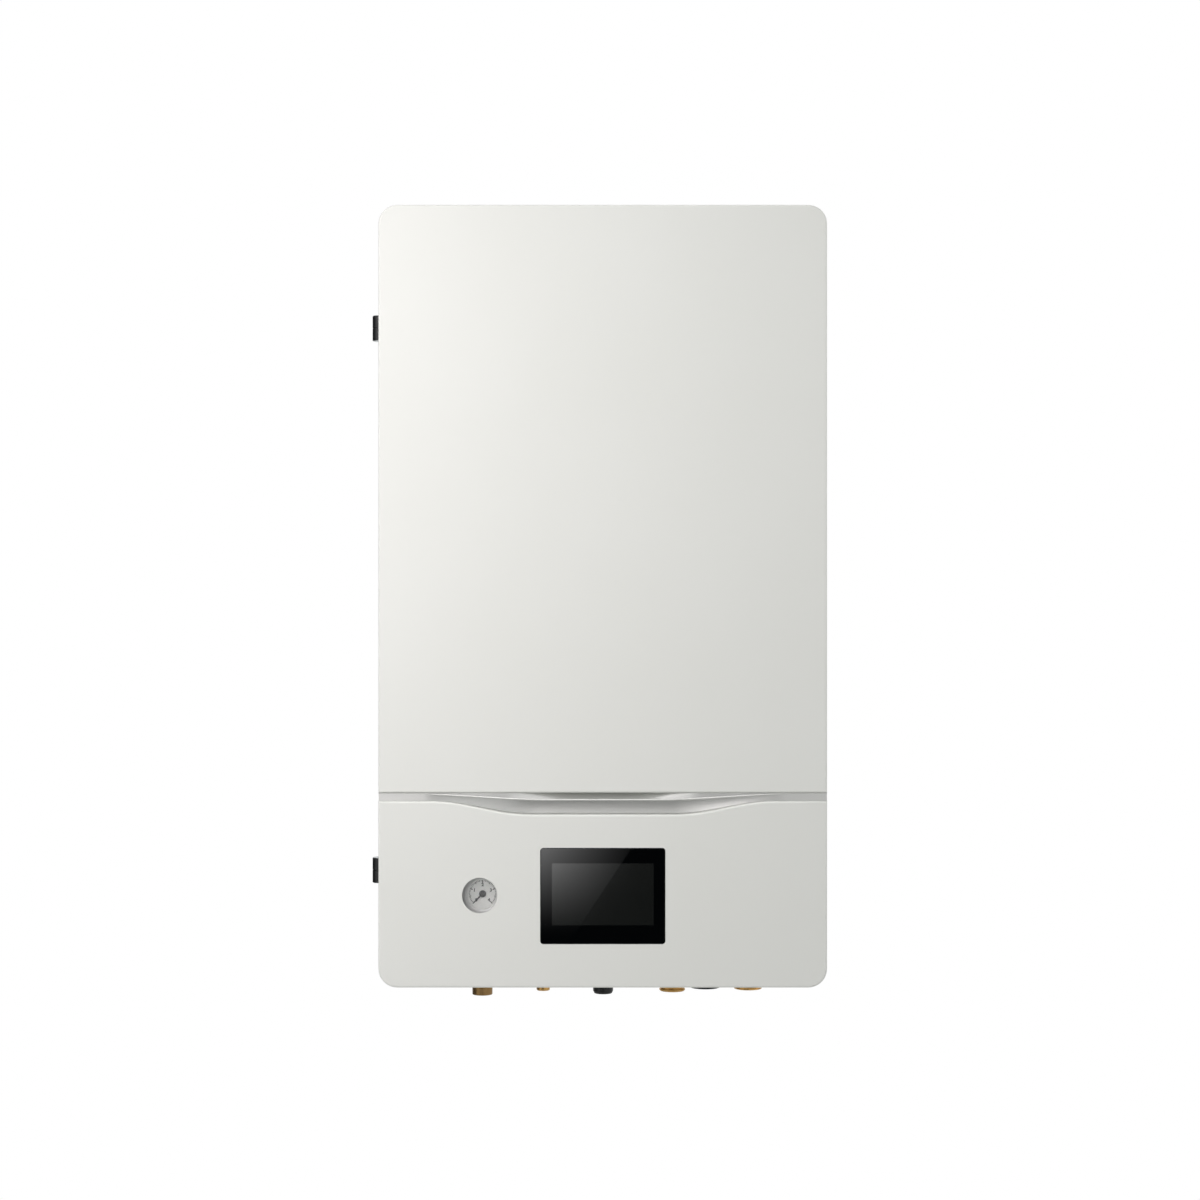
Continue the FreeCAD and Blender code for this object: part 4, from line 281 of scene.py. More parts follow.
# %% Extruded EPDM rubber
# Carbon black makes it nearly black and the skin is dull, with a light bloom in soft patches.
rubber, tree, shader, place = start("extruded_epdm_rubber", Specular_IOR_Level=0.35)
bloom = add(tree, "ShaderNodeTexNoise", {"Vector": place, "Scale": every(14), "Detail": 4.0})
film = add(tree, "ShaderNodeTexNoise", {"Vector": place, "Scale": every(0.8), "Detail": 1.0})
wander(tree, shader, bloom.outputs[0], film.outputs[0], ("#18191A", "#2B2D2E"), (0.62, 0.82), 0.04, 0.4)

# %% Closed-cell polyethylene foam
# Cells of about 1.5 mm, cut open at the surface: dull, dark grey and pitted.
foam, tree, shader, place = start("polyethylene_foam", Specular_IOR_Level=0.25)
cell = add(tree, "ShaderNodeTexVoronoi", {"Vector": place, "Scale": every(1.5)})
wander(tree, shader, cell.outputs["Distance"], cell.outputs["Distance"],
       ("#3A3D3F", "#54585A"), (0.75, 0.95), 0.3, 0.7)

# %% [markdown]
# Metals. A metal keeps the default IOR: its colour is in its base colour and its making is in its
# roughness. Lathe marks are rings round the part's axis, drawn tubes have streaks along them, and cast
# or painted metal is grainy.

# %% Turned brass
# Free-cutting brass straight from the lathe: feed marks of 0.2 mm, drawn 5.7 mm wide so that they show.
brass, tree, shader, place = start("turned_brass", Metallic=1.0)
feed = add(tree, "ShaderNodeTexWave", {"Vector": place, "Scale": bands(5.655), "Distortion": 0.4},
           bands_direction="Z")
patch = add(tree, "ShaderNodeTexNoise", {"Vector": place, "Scale": every(9), "Detail": 3.0})
wander(tree, shader, patch.outputs[0], feed.outputs["Fac"],
       ("#A07A42", "#C39E63"), (0.18, 0.34), 0.01, 0.25)

# %% Pressed bronze
# The gas union is forged and only cleaned by tumbling, so it is browner and duller than the turned ones.
bronze, tree, shader, place = start("tumbled_bronze", Metallic=1.0)
patch = add(tree, "ShaderNodeTexNoise", {"Vector": place, "Scale": every(5), "Detail": 4.0})
wander(tree, shader, patch.outputs[0], patch.outputs[0], ("#7D6340", "#94794F"), (0.36, 0.52), 0.03, 0.3)

# %% Drawn copper tube
# Bright when drawn, then patchy as it tarnishes. Patches are some 20 mm wide and longer along the run.
copper, tree, shader, place = start("drawn_copper", Metallic=1.0)
tarnish = add(tree, "ShaderNodeTexNoise", {"Vector": place, "Scale": every(20), "Detail": 5.0})
wander(tree, shader, tarnish.outputs[0], tarnish.outputs[0],
       ("#A55A35", "#D08E66"), (0.2, 0.42), 0.02, 0.15)

# %% Brushed stainless steel
# A grinding belt leaves fine streaks: 0.3 mm apart and tens of millimetres long, drawn at 1 mm.
stainless, tree, shader, place = start("brushed_stainless", Metallic=1.0)
along = add(tree, "ShaderNodeMapping", {"Vector": place, "Scale": (1.0, 1.0, 0.04)})
streak = add(tree, "ShaderNodeTexNoise", {"Vector": along.outputs[0], "Scale": every(1), "Detail": 3.0})
wander(tree, shader, streak.outputs[0], streak.outputs[0], ("#A9ACAE", "#CDD0D1"), (0.24, 0.4), 0.01, 0.3)

# %% Dip-painted cast iron
# Sand casting leaves a skin like coarse paper, 1.4 mm grain, and the dip paint follows it.
cast_iron, tree, shader, place = start("dip_painted_cast_iron")
sand = add(tree, "ShaderNodeTexNoise", {"Vector": place, "Scale": every(1.4), "Detail": 3.0})
wander(tree, shader, sand.outputs[0], sand.outputs[0], ("#24282A", "#373C3F"), (0.42, 0.6), 0.15, 0.6)

# %% Zinc-plated steel
# Bright zinc with a blue-white passivation: satin, with a cloudy tint some 6 mm across.
zinc_plate, tree, shader, place = start("zinc_plated_steel", Metallic=1.0)
haze = add(tree, "ShaderNodeTexNoise", {"Vector": place, "Scale": every(6), "Detail": 3.0})
wander(tree, shader, haze.outputs[0], haze.outputs[0], ("#AEB4BA", "#C9CCC8"), (0.25, 0.4), 0.01, 0.2)

# %% Red stoved enamel
# Expansion vessels are sprayed after forming: glossy, with orange peel about 3 mm across.
red_enamel, tree, shader, place = start("red_stoved_enamel", Coat_Weight=0.4, Coat_Roughness=0.12)
peel = add(tree, "ShaderNodeTexNoise", {"Vector": place, "Scale": every(3), "Detail": 2.0})
wander(tree, shader, peel.outputs[0], peel.outputs[0], ("#9A1A18", "#AE2420"), (0.3, 0.42), 0.03, 0.4)

# %% [markdown]
# Plastics, glass and print. The display is one sheet of black-printed glass. Its print leaves a window
# for the screen, which is a shade lighter when it is off, and the two can only be told apart by that.

# %% Black-printed display glass
# Float glass with black ceramic ink behind it and a polished face. Only finger haze, in patches of
# 30 mm, changes the gloss.
display_glass, tree, shader, place = start("black_printed_glass", IOR=1.52)
haze = add(tree, "ShaderNodeTexNoise", {"Vector": place, "Scale": every(30), "Detail": 3.0})
wander(tree, shader, haze.outputs[0], haze.outputs[0], ("#030405", "#050607"), (0.008, 0.02))

# %% Glass over the screen
# The same glass, bonded to the screen without ink. The eye sees two faces at once: the polished one,
# which is the coat here, and the satin face of the screen just behind it. The haze again lies in patches.
window_glass, tree, shader, place = start("bonded_screen_glass", IOR=1.5, Coat_Weight=1.0, Coat_IOR=1.52,
                                          Coat_Roughness=0.01)
haze = add(tree, "ShaderNodeTexNoise", {"Vector": place, "Scale": every(30), "Detail": 3.0})
wander(tree, shader, haze.outputs[0], haze.outputs[0], ("#141615", "#171918"), (0.07, 0.10))

# %% Liquid-crystal screen
# Three stripes to a pixel of 0.3 mm, drawn 6.3 mm wide. It is off, so it is a very dark green-grey.
screen_off, tree, shader, place = start("liquid_crystal_screen")
stripe = add(tree, "ShaderNodeTexWave", {"Vector": place, "Scale": bands(6.283)}, bands_direction="X")
wander(tree, shader, stripe.outputs["Fac"], stripe.outputs["Fac"], ("#101211", "#191C1A"), (0.2, 0.3))

# %% Glossy red plastic
# Acetal knobs and buttons: a clean colour with faint flow marks, 4 mm wide, from the mould.
red_plastic, tree, shader, place = start("moulded_red_acetal")
flow = add(tree, "ShaderNodeTexNoise", {"Vector": place, "Scale": every(4), "Detail": 2.0})
wander(tree, shader, flow.outputs[0], flow.outputs[0], ("#B01C18", "#C6261F"), (0.28, 0.4), 0.02, 0.2)

# %% Grey moulded plastic
# Engineering plastic in light grey, with the 0.6 mm grain of an eroded mould.
grey_plastic, tree, shader, place = start("moulded_grey_abs")
grain = add(tree, "ShaderNodeTexNoise", {"Vector": place, "Scale": every(0.6), "Detail": 2.0})
wander(tree, shader, grain.outputs[0], grain.outputs[0], ("#8F9396", "#A3A7A9"), (0.42, 0.55), 0.02, 0.35)

# %% Pale gauge case
# Light ABS with a satin moulding skin; the 0.6 mm grain of the mould only shows in the gloss.
pale_abs, tree, shader, place = start("moulded_pale_abs")
grain = add(tree, "ShaderNodeTexNoise", {"Vector": place, "Scale": every(0.6), "Detail": 2.0})
wander(tree, shader, grain.outputs[0], grain.outputs[0], ("#D2D3D1", "#DBDCDA"), (0.28, 0.38), 0.01, 0.2)

# %% Dial card
# White-lacquered sheet with a fine tooth, so that the print sits on it without shine.
dial_card, tree, shader, place = start("lacquered_dial_card", Specular_IOR_Level=0.3)
tooth = add(tree, "ShaderNodeTexNoise", {"Vector": place, "Scale": every(0.7), "Detail": 2.0})
wander(tree, shader, tooth.outputs[0], tooth.outputs[0], ("#F1F2EF", "#F6F6F4"), (0.55, 0.7), 0.01, 0.2)

# %% Printing ink
# Pad-printed black: a thin matt film with pinholes of about 0.5 mm where it is worn.
ink, tree, shader, place = start("pad_printed_ink", Specular_IOR_Level=0.3)
worn = add(tree, "ShaderNodeTexNoise", {"Vector": place, "Scale": every(0.5), "Detail": 2.0})
wander(tree, shader, worn.outputs[0], worn.outputs[0], ("#1B1C1C", "#2E3030"), (0.5, 0.7))

# %% Clear moulded lens
# Polycarbonate: water-clear and glossy, with hairline wear in patches of 6 mm.
clear_lens, tree, shader, place = start("clear_polycarbonate", Transmission_Weight=1.0, IOR=1.58)
wear = add(tree, "ShaderNodeTexNoise", {"Vector": place, "Scale": every(6), "Detail": 4.0})
wander(tree, shader, wear.outputs[0], wear.outputs[0], ("#F4F6F5", "#FDFDFC"), (0.01, 0.04))

# %% Clear hose
# Soft PVC, milky from age, with weld lines of the extruder every 5 mm round it.
clear_hose, tree, shader, place = start("clear_pvc_hose", Transmission_Weight=0.55, IOR=1.52)
milk = add(tree, "ShaderNodeTexNoise", {"Vector": place, "Scale": every(5), "Detail": 3.0})
wander(tree, shader, milk.outputs[0], milk.outputs[0], ("#C9D0D0", "#E2E6E5"), (0.2, 0.38), 0.05, 0.3)

# %% Circuit board
# Glass-fibre laminate under green solder mask, with copper tracks that stand just proud of it.
circuit_board, tree, shader, place = start("solder_masked_laminate")
track = add(tree, "ShaderNodeTexBrick", {"Vector": place, "Scale": every(9), "Mortar Size": 0.03})
wander(tree, shader, track.outputs["Fac"], track.outputs["Fac"],
       ("#1C5433", "#2E7A4C"), (0.3, 0.4), 0.04, 0.5)

# %% [markdown]
# Dressing the CAD pieces. A solid from CAD has knife edges and arrives as loose triangles, while every
# real edge is rolled, broken or moulded round and catches a thin line of light. So each piece gets a
# chain of modifiers: weld the triangles, dissolve the flat ones, bevel the sharp edges by a fraction of a
# millimetre and shade smooth across everything flatter than 35 degrees. The smoothing is a small
# geometry-node group, because modifiers leave the CAD mesh itself as it came, and weighted normals then
# keep large flat faces flat up to their bevels, so that glass mirrors without bending.

# %% Smoothing by angle
SHARP = math.radians(35)
FLAT = math.radians(0.5)
WELD_MM = 0.002

smoothing = bpy.data.node_groups.new("smooth_by_angle", "GeometryNodeTree")
smoothing.interface.new_socket("Geometry", in_out="INPUT", socket_type="NodeSocketGeometry")
smoothing.interface.new_socket("Geometry", in_out="OUTPUT", socket_type="NodeSocketGeometry")
came = add(smoothing, "NodeGroupInput")
angle = add(smoothing, "GeometryNodeInputMeshEdgeAngle")
crease = add(smoothing, "FunctionNodeCompare", {"A": angle.outputs["Unsigned Angle"], "B": SHARP},
             operation="GREATER_THAN")
round_all = add(smoothing, "GeometryNodeSetShadeSmooth", {"Geometry": came.outputs[0]})
keep_creases = add(smoothing, "GeometryNodeSetShadeSmooth",
                   {"Geometry": round_all.outputs[0], "Selection": crease.outputs[0], "Shade Smooth": False},
                   domain="EDGE")
add(smoothing, "NodeGroupOutput", {0: keep_creases.outputs[0]})


def soften(piece, edge_mm=0.0):
    """Adds the chain of modifiers. An edge of 0 only smooths."""
    weld = piece.modifiers.new("weld", "WELD")
    weld.merge_threshold = WELD_MM * MM
    if edge_mm:
        flat = piece.modifiers.new("flat", "DECIMATE")
        flat.decimate_type = "DISSOLVE"
        flat.angle_limit = FLAT
        edge = piece.modifiers.new("edge", "BEVEL")
        edge.width = edge_mm * MM
        edge.segments = 2
        edge.limit_method = "ANGLE"
        edge.angle_limit = SHARP
    shade = piece.modifiers.new("shade", "NODES")
    shade.node_group = smoothing
    level = piece.modifiers.new("level", "WEIGHTED_NORMAL")
    level.keep_sharp = True


print("smoothing nodes:", len(smoothing.nodes))

# %% A finish and an edge for every CAD piece
# The edge is the radius in millimetres that the real piece has, or 0 where the solid already has it.
DRESS = {
    powder_coat: {"upper_front_panel": 0, "lower_front_panel": 0, "left_side_panel": 0.4,
                  "right_side_panel": 0.4, "top_panel": 0.4, "bottom_plate": 0.4},
    galvanised: {"wall_bracket": 0.3, "back_panel": 0.3, "front_frame": 0.3, "control_box": 0.3,
                 "control_box_cover": 0.3, "component_brackets": 0.3, "gauge_bracket": 0.3,
                 "door_inner_frame": 0.3},
    rubber: {"wall_spacers": 1, "door_seal": 0.8, "cable_grommet": 0.8},
    black_nylon: {"hinge_case_leaves": 0.4, "hinge_door_leaves": 0.4, "thermal_cutout": 0.5,
                  "pump_control_head": 2, "flow_sensor": 0.8, "drain_spigot": 0.3, "display_housing": 0.5,
                  "air_vent_cap": 0.3},
    zinc_plate: {"hinge_pins": 0.3, "case_screws": 0.3, "pump_rotor": 0.3},
    circuit_board: {"main_board": 0.2},
    grey_plastic: {"terminal_blocks": 0.4},
    pale_abs: {"gauge_case": 0.4},
    red_enamel: {"expansion_vessel": 0.5},
    copper: {"vessel_pipe": 0, "low_water_pipe": 0, "high_water_pipe": 0, "riser_pipes": 0,
             "refrigerant_pipes": 0, "gauge_capillary": 0},
    stainless: {"plate_heat_exchanger": 0.8, "heater_tank": 0.5},
    cast_iron: {"pump_volute": 1, "pump_motor": 0.8},
    brass: {"heater_element": 0.4, "air_vent_body": 0.4, "safety_valve_body": 0.5, "flare_unions": 0.4,
            "water_return_nipple": 0.4, "water_supply_nipple": 0.4},
    clear_hose: {"discharge_pipe": 0},
    clear_lens: {"gauge_lens": 0},
    dial_card: {"gauge_dial": 0},
    silver_paint: {"grip_rail": 0},
    foam: {"door_insulation": 1},
    display_glass: {"display_glass": 0.3},
    screen_off: {"display_screen": 0},
    red_plastic: {"safety_valve_knob": 0.4, "reset_button": 0.4},
    ink: {"gauge_pointer": 0},
}
for finish, pieces in DRESS.items():
    for name, edge_mm in pieces.items():
        node = nodes[name]
        node.data.materials.clear()
        node.data.materials.append(finish)
        soften(node, edge_mm)
# Real light passes the lens, while a ray tracer would leave the dial in its shadow.
nodes["gauge_lens"].visible_shadow = False
bare = sorted(set(nodes) - {name for pieces in DRESS.values() for name in pieces})
print("dressed nodes:", len(nodes) - len(bare), "left bare:", bare)

# %% [markdown]
# The finger grip. A silver rail crosses the door below the large panel and dips in the middle, where its
# face folds into a lip with a scoop below it for the fingers. The eye finds it by two lines: the bright
# bead of the lip and the edge of the lower panel. Here the rail is lofted from many sections across the
# door. Each section is one outline in y and z. Its lip, bead, cove and scoop each grow over their own run
# from the ends to the middle, so the fold fades out without a seam.

# %% Lofting pieces from rings of points
RIGHT, BACKWARD, UPWARD = Vector((1, 0, 0)), Vector((0, 1, 0)), Vector((0, 0, 1))
FACETS = 48


def circle(middle, across, up, radii):
    """A ring of points round a middle in mm, in the plane of two directions, one for each radius."""
    turns = [math.radians(360 * k / len(radii)) for k in range(len(radii))]
    return [middle + across * r * math.cos(a) + up * r * math.sin(a) for a, r in zip(turns, radii)]


def loft(name, parts, finish, body):
    """One mesh piece from one or more skins, each through closed rings of equal length, in millimetres.
    The rings are joined by sides, and the first and the last are closed by caps."""
    points, faces = [], []
    for rings in parts:
        count = len(rings[0])
        for r in range(len(rings) - 1):
            low = len(points) + r * count
            high = low + count
            for i in range(count):
                j = (i + 1) % count
                faces.append((low + i, low + j, high + j, high + i))
        faces.append(tuple(reversed(range(len(points), len(points) + count))))
        points += [Vector(p) * MM for ring in rings for p in ring]
        faces.append(tuple(range(len(points) - count, len(points))))
    mesh = bpy.data.meshes.new(name)
    mesh.from_pydata(points, [], faces)
    shape = bmesh.new()
    shape.from_mesh(mesh)
    bmesh.ops.recalc_face_normals(shape, faces=shape.faces)
    shape.to_mesh(mesh)
    shape.free()
    mesh.materials.append(finish)
    piece = bpy.data.objects.new(name, mesh)
    scene.collection.objects.link(piece)
    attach(piece, body)
    soften(piece)
    print(name, "has", len(faces), "faces")
    return piece


# %% Sections of the grip rail
RAIL_END, RAIL_FRONT, RAIL_BACK, RAIL_TOP, RAIL_BOTTOM = 224.8, -309, -268, -514.5, -523.1
DIP_START, DIP_END, DIP, BEND = 155, 90, 13.5, 195
STATIONS = 150
EDGE = 0.4
# Where each form starts to grow, measured from the middle, and over how long a run.
FOLD, HOLLOW, BEADING, COVE, SET_BACK = (200, 145), (186, 120), (200, 60), (105, 90), (95, 70)
LIP_TOP, LIP_DROP, LIP_SET_BACK, FACE_SET_BACK = 1.0, 6.2, 0.2, 0.75
COVE_TOP, COVE_FOOT, COVE_STEPS = 9, 3, 4
BEAD, BEAD_TUCK, BEAD_STEPS = 0.95, 0.3, 9
SCOOP_DEPTH, SCOOP_FLOOR, SCOOP_BELLY, CEILING_STEPS, WALL_STEPS = 14.5, 14.4, 0.38, 8, 16
# At the plain ends a trace of each form is left, so that no two points of a section fall together.
LEDGE, BEAD_LEAST, SCOOP_LEAST = 0.03, 0.07, 0.015


def grown(x, reach):
    """How far a form has grown at one place: a smooth step from 0 at its start to 1 a run further in."""
    begin, run = reach
    part = min(1, max(0, (begin - abs(x)) / run))
    return part * part * (3 - 2 * part)


def dip_at(x):
    """How far the lower panel's edge has dropped at one place: two arcs with a straight slope between."""
    reach = BEND * math.tan(math.atan2(DIP, DIP_START - DIP_END) / 2)
    level = reach * (DIP_START - DIP_END) / math.hypot(DIP, DIP_START - DIP_END)
    away = abs(x)
    if away < DIP_END + level:
        return DIP - BEND + math.sqrt(BEND ** 2 - max(0, away - DIP_END + reach) ** 2)
    if away > DIP_START - level:
        return BEND - math.sqrt(BEND ** 2 - max(0, DIP_START + reach - away) ** 2)
    return DIP * (DIP_START - away) / (DIP_START - DIP_END)


def rail_section(x):
    """The outline of the rail at one place across the door, from the top back edge round to the bottom."""
    fold, cove = grown(x, FOLD), grown(x, COVE)
    hollow = max(SCOOP_LEAST, grown(x, HOLLOW))
    bead = BEAD * max(BEAD_LEAST, grown(x, BEADING))
    lip = RAIL_TOP - LIP_TOP - LIP_DROP * fold
    bead_y = RAIL_FRONT + LIP_SET_BACK * grown(x, SET_BACK) + BEAD_TUCK * bead
    face_y = RAIL_FRONT + FACE_SET_BACK * fold
    top_y = face_y + COVE_TOP * cove
    foot_y = max(bead_y + LEDGE, face_y + COVE_FOOT * cove)
    outline = [(RAIL_BACK, RAIL_TOP), (top_y + EDGE, RAIL_TOP), (top_y, RAIL_TOP - EDGE)]
    # Down the cove to the bead, and round the bead.
    head, foot = RAIL_TOP - EDGE, lip + bead
    for k in range(1, COVE_STEPS + 1):
        t = k / COVE_STEPS
        outline.append((top_y + (foot_y - top_y) * t, head + (foot - head) * t))
    for k in range(BEAD_STEPS + 1):
        turn = math.radians(90 - 180 * k / BEAD_STEPS)
        outline.append((bead_y - bead * math.cos(turn), lip + bead * math.sin(turn)))
    # Back along the ceiling of the scoop, and down its wall.
    bottom = RAIL_BOTTOM - dip_at(x)
    top, low = lip - bead, bottom + EDGE
    wall_y = RAIL_FRONT + SCOOP_DEPTH * hollow
    outline += [(bead_y + (wall_y - bead_y) * k / CEILING_STEPS, top) for k in range(1, CEILING_STEPS)]
    for k in range(WALL_STEPS + 1):
        t = k / WALL_STEPS
        deep = SCOOP_DEPTH + SCOOP_BELLY * math.sin(math.pi * t) - (SCOOP_DEPTH - SCOOP_FLOOR) * t * t
        outline.append((RAIL_FRONT + deep * hollow, top + (low - top) * t))
    outline += [(RAIL_FRONT + EDGE + SCOOP_FLOOR * hollow, bottom), (RAIL_BACK, bottom)]
    return [(x, y, z) for y, z in outline]


rail_rings = [rail_section(RAIL_END * (2 * k / STATIONS - 1)) for k in range(STATIONS + 1)]
grip = loft("finger_grip", [rail_rings], silver_paint, "door")
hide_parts("grip_rail")
print("grip sections:", len(rail_rings), "points in each:", len(rail_rings[0]))

# %% [markdown]
# What the gloss sees. Black glass and silver paint show the studio itself. In the photograph the dark
# space round the camera lies across the display and the middle of the grip, and one bright panel with a
# slanted edge lights the display from its upper left corner. Two dark cards and a bright one at the
# camera stand for those. They face the unit, the camera doesn't see them, and only mirror rays meet them,
# so the light on the panels stays as it was.

# %% Boards of the studio
def board(name, corners, finish, unseen):
    """A flat board from corners in mm, which the named kinds of ray pass as if it weren't there."""
    mesh = bpy.data.meshes.new(name)
    mesh.from_pydata([Vector(corner) * MM for corner in corners], [], [tuple(range(len(corners)))])
    mesh.materials.append(finish)
    piece = bpy.data.objects.new(name, mesh)
    scene.collection.objects.link(piece)
    for ray in unseen:
        setattr(piece, "visible_" + ray, False)


black_cloth, tree, shader, place = start("black_studio_cloth", Specular_IOR_Level=0.0)
shader.inputs["Base Color"].default_value = colour("#050505")
shader.inputs["Roughness"].default_value = 1.0

# %% Bright paper
# The bright card fades both ways from its upper left corner, as light does across a large soft box.
FADES = {"X": (128.7, -86.3), "Z": (-1003, -823)}
FADE_GAIN, FADE_POWER = 1.29, 2.0
lit_paper, tree, shader, place = start("lit_studio_paper")
tree.nodes.remove(shader)
axes = add(tree, "ShaderNodeSeparateXYZ", {0: place})
falls = []
for axis, (dark, bright) in FADES.items():
    fall = add(tree, "ShaderNodeMapRange", {"Value": axes.outputs[axis], "From Min": dark * MM,
                                            "From Max": bright * MM, "To Max": FADE_GAIN})
    falls.append(fall.outputs[0])
both = add(tree, "ShaderNodeMath", {0: falls[0], 1: falls[1]}, operation="MULTIPLY")
strength = add(tree, "ShaderNodeMath", {0: both.outputs[0], 1: FADE_POWER}, operation="POWER")
glow = add(tree, "ShaderNodeEmission", {"Strength": strength.outputs[0]})
tree.links.new(glow.outputs[0], tree.nodes["Material Output"].inputs["Surface"])

# %% Cards at the camera
# Each has its finish, its y and its corners in x and z. The bright one stands just before the dark ones.
CARDS = {
    "dark_behind_camera": (black_cloth, -2735, [(-400, -600), (-210, -400), (270, -400), (390, -560),
                                                (390, -1880), (-400, -1880)]),
    "dark_at_left": (black_cloth, -2735, [(-1600, -560), (-660, -560), (-660, -1700), (-1600, -1700)]),
    "slanted_bright_card": (lit_paper, -2715, [(-331, -760), (129, -760), (-57, -1040), (-331, -1040)]),
}
for name, (finish, y, corners) in CARDS.items():
    board(name, [(x, y, z) for x, z in corners], finish, ("camera", "diffuse", "shadow", "transmission"))
print("cards:", list(CARDS))

# %% Black flags at the left and above
# Photographers stand black boards just outside the picture to draw a fine darker line along a pale edge.
FLAGS = {
    "flag_left": [(-500, -290, -900), (-500, 300, -900), (-500, 300, 250), (-500, -290, 250)],
    "flag_above": [(-300, -338, 200), (300, -338, 200), (300, -275, 200), (-300, -275, 200)],
}
for name, corners in FLAGS.items():
    board(name, corners, black_cloth, ("camera", "transmission"))
print("flags:", list(FLAGS))

# %% [markdown]
# The display. On the real unit it is one plate of glass with a ground edge and softly rounded corners.
# Black ink is printed behind its border, and the window is left clear over the screen. A mask in the
# material could show the window, but the two areas reflect differently, so the plate is one mesh with two
# finishes: rings of points run from the back over the ground edge to the window, which is the last face.

# %% Glass plate of the display
GLASS_HALF, GLASS_LOW, GLASS_HIGH = 62.5, -666, -570
GLASS_BACK, GLASS_FRONT, GROUND = -307.5, -310.0, 0.45
WINDOW_HALF, WINDOW_LOW, WINDOW_HIGH = 51, -647.3, -585.3
PLATE_CORNER, FACE_CORNER, WINDOW_CORNER = 2.2, 1.8, 0.4
CORNER_STEPS = 6


def round_box(half_x, low, high, radius, y):
    """A ring of points round a rectangle with rounded corners, at one depth."""
    ring = []
    for corner in range(4):
        x = (half_x - radius) * (1 if corner in (0, 3) else -1)
        z = high - radius if corner < 2 else low + radius
        for k in range(CORNER_STEPS + 1):
            turn = math.radians(90 * (corner + k / CORNER_STEPS))
            ring.append((x + radius * math.cos(turn), y, z + radius * math.sin(turn)))
    return ring


glass_rings = [
    round_box(GLASS_HALF, GLASS_LOW, GLASS_HIGH, PLATE_CORNER, GLASS_BACK),
    round_box(GLASS_HALF, GLASS_LOW, GLASS_HIGH, PLATE_CORNER, GLASS_FRONT + GROUND),
    round_box(GLASS_HALF - GROUND, GLASS_LOW + GROUND, GLASS_HIGH - GROUND, FACE_CORNER, GLASS_FRONT),
    round_box(WINDOW_HALF, WINDOW_LOW, WINDOW_HIGH, WINDOW_CORNER, GLASS_FRONT),
]
glass = loft("display_plate", [glass_rings], display_glass, "door")
glass.data.materials.append(window_glass)
glass.data.polygons[-1].material_index = 1
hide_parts("display_glass")
print("window normal:", glass.data.polygons[-1].normal[:])

# %% [markdown]
# The pressure gauge's dial. It is a white card with a printed scale from 0 to 4 round three quarters of a
# turn: a short line for every tenth, a longer one for every half, and a bold one at every number. A picture
# could be laid on the card, but a mesh of thin ink keeps its edge at any distance and goes into the export
# as it is. The lines are drawn as flat prisms, and the numbers come from Blender's own plain typeface.

# %% Printed scale of the gauge
DIAL_X, DIAL_Z, DIAL_FRONT = -121.005, -617.5, -293.9
INK = 0.08
SCALE_START, SCALE_SWEEP, SCALE_END = 225, 270, 4
# The inner and outer radius of each kind of line, and half its width.
TICKS = {"number": (10.9, 13.9, 0.5), "half": (11.8, 13.9, 0.38), "tenth": (12.5, 13.9, 0.28)}
NUMBER_SIZE, NUMBER_RADIUS, NUMBER_SPREAD = 4.4, 9.0, 0.2


def scale_angle(value):
    """Where a pressure stands on the dial, in radians from the right and upwards."""
    return math.radians(SCALE_START - SCALE_SWEEP * value / SCALE_END)


def prism(shape, outline, front, back):
    """Adds a flat shape with straight sides; its outline is in x and z, in millimetres."""
    near = [shape.verts.new(Vector((x, front, z)) * MM) for x, z in outline]
    far = [shape.verts.new(Vector((x, back, z)) * MM) for x, z in outline]
    shape.faces.new(near)
    shape.faces.new(list(reversed(far)))
    for i in range(len(outline)):
        j = (i + 1) % len(outline)
        shape.faces.new((near[j], near[i], far[i], far[j]))


marks = bmesh.new()
for step in range(10 * SCALE_END + 1):
    kind = "number" if step % 10 == 0 else "half" if step % 5 == 0 else "tenth"
    inner, outer, half = TICKS[kind]
    turn = scale_angle(step / 10)
    along, across = (math.cos(turn), math.sin(turn)), (-math.sin(turn), math.cos(turn))
    corners = [(inner, -half), (outer, -half), (outer, half), (inner, half)]
    outline = [(DIAL_X + r * along[0] + w * across[0], DIAL_Z + r * along[1] + w * across[1])
               for r, w in corners]
    prism(marks, outline, DIAL_FRONT - INK, DIAL_FRONT)
print("faces of the lines:", len(marks.faces))

# %% Numbers of the gauge
for value in range(SCALE_END + 1):
    words = bpy.data.curves.new("number", "FONT")
    words.body = str(value)
    words.size = NUMBER_SIZE * MM
    words.extrude = INK * MM / 2
    words.offset = NUMBER_SPREAD * MM
    words.align_x = words.align_y = "CENTER"
    text = bpy.data.objects.new("number", words)
    letters = bpy.data.meshes.new_from_object(text)
    turn = scale_angle(value)
    across, up = NUMBER_RADIUS * math.cos(turn), NUMBER_RADIUS * math.sin(turn)
    spot = Vector((DIAL_X + across, DIAL_FRONT - INK / 2, DIAL_Z + up))
    letters.transform(Matrix.Translation(spot * MM) @ Matrix.Rotation(math.radians(90), 4, "X"))
    marks.from_mesh(letters)
    bpy.data.objects.remove(text)
    bpy.data.meshes.remove(letters)
    bpy.data.curves.remove(words)
scale_mesh = bpy.data.meshes.new("dial_scale")
bmesh.ops.recalc_face_normals(marks, faces=marks.faces)
marks.to_mesh(scale_mesh)
marks.free()
scale_mesh.materials.append(ink)
dial_scale = bpy.data.objects.new("dial_scale", scale_mesh)
scene.collection.objects.link(dial_scale)
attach(dial_scale, "cabinet")
print("dial scale:", len(scale_mesh.polygons), "faces")

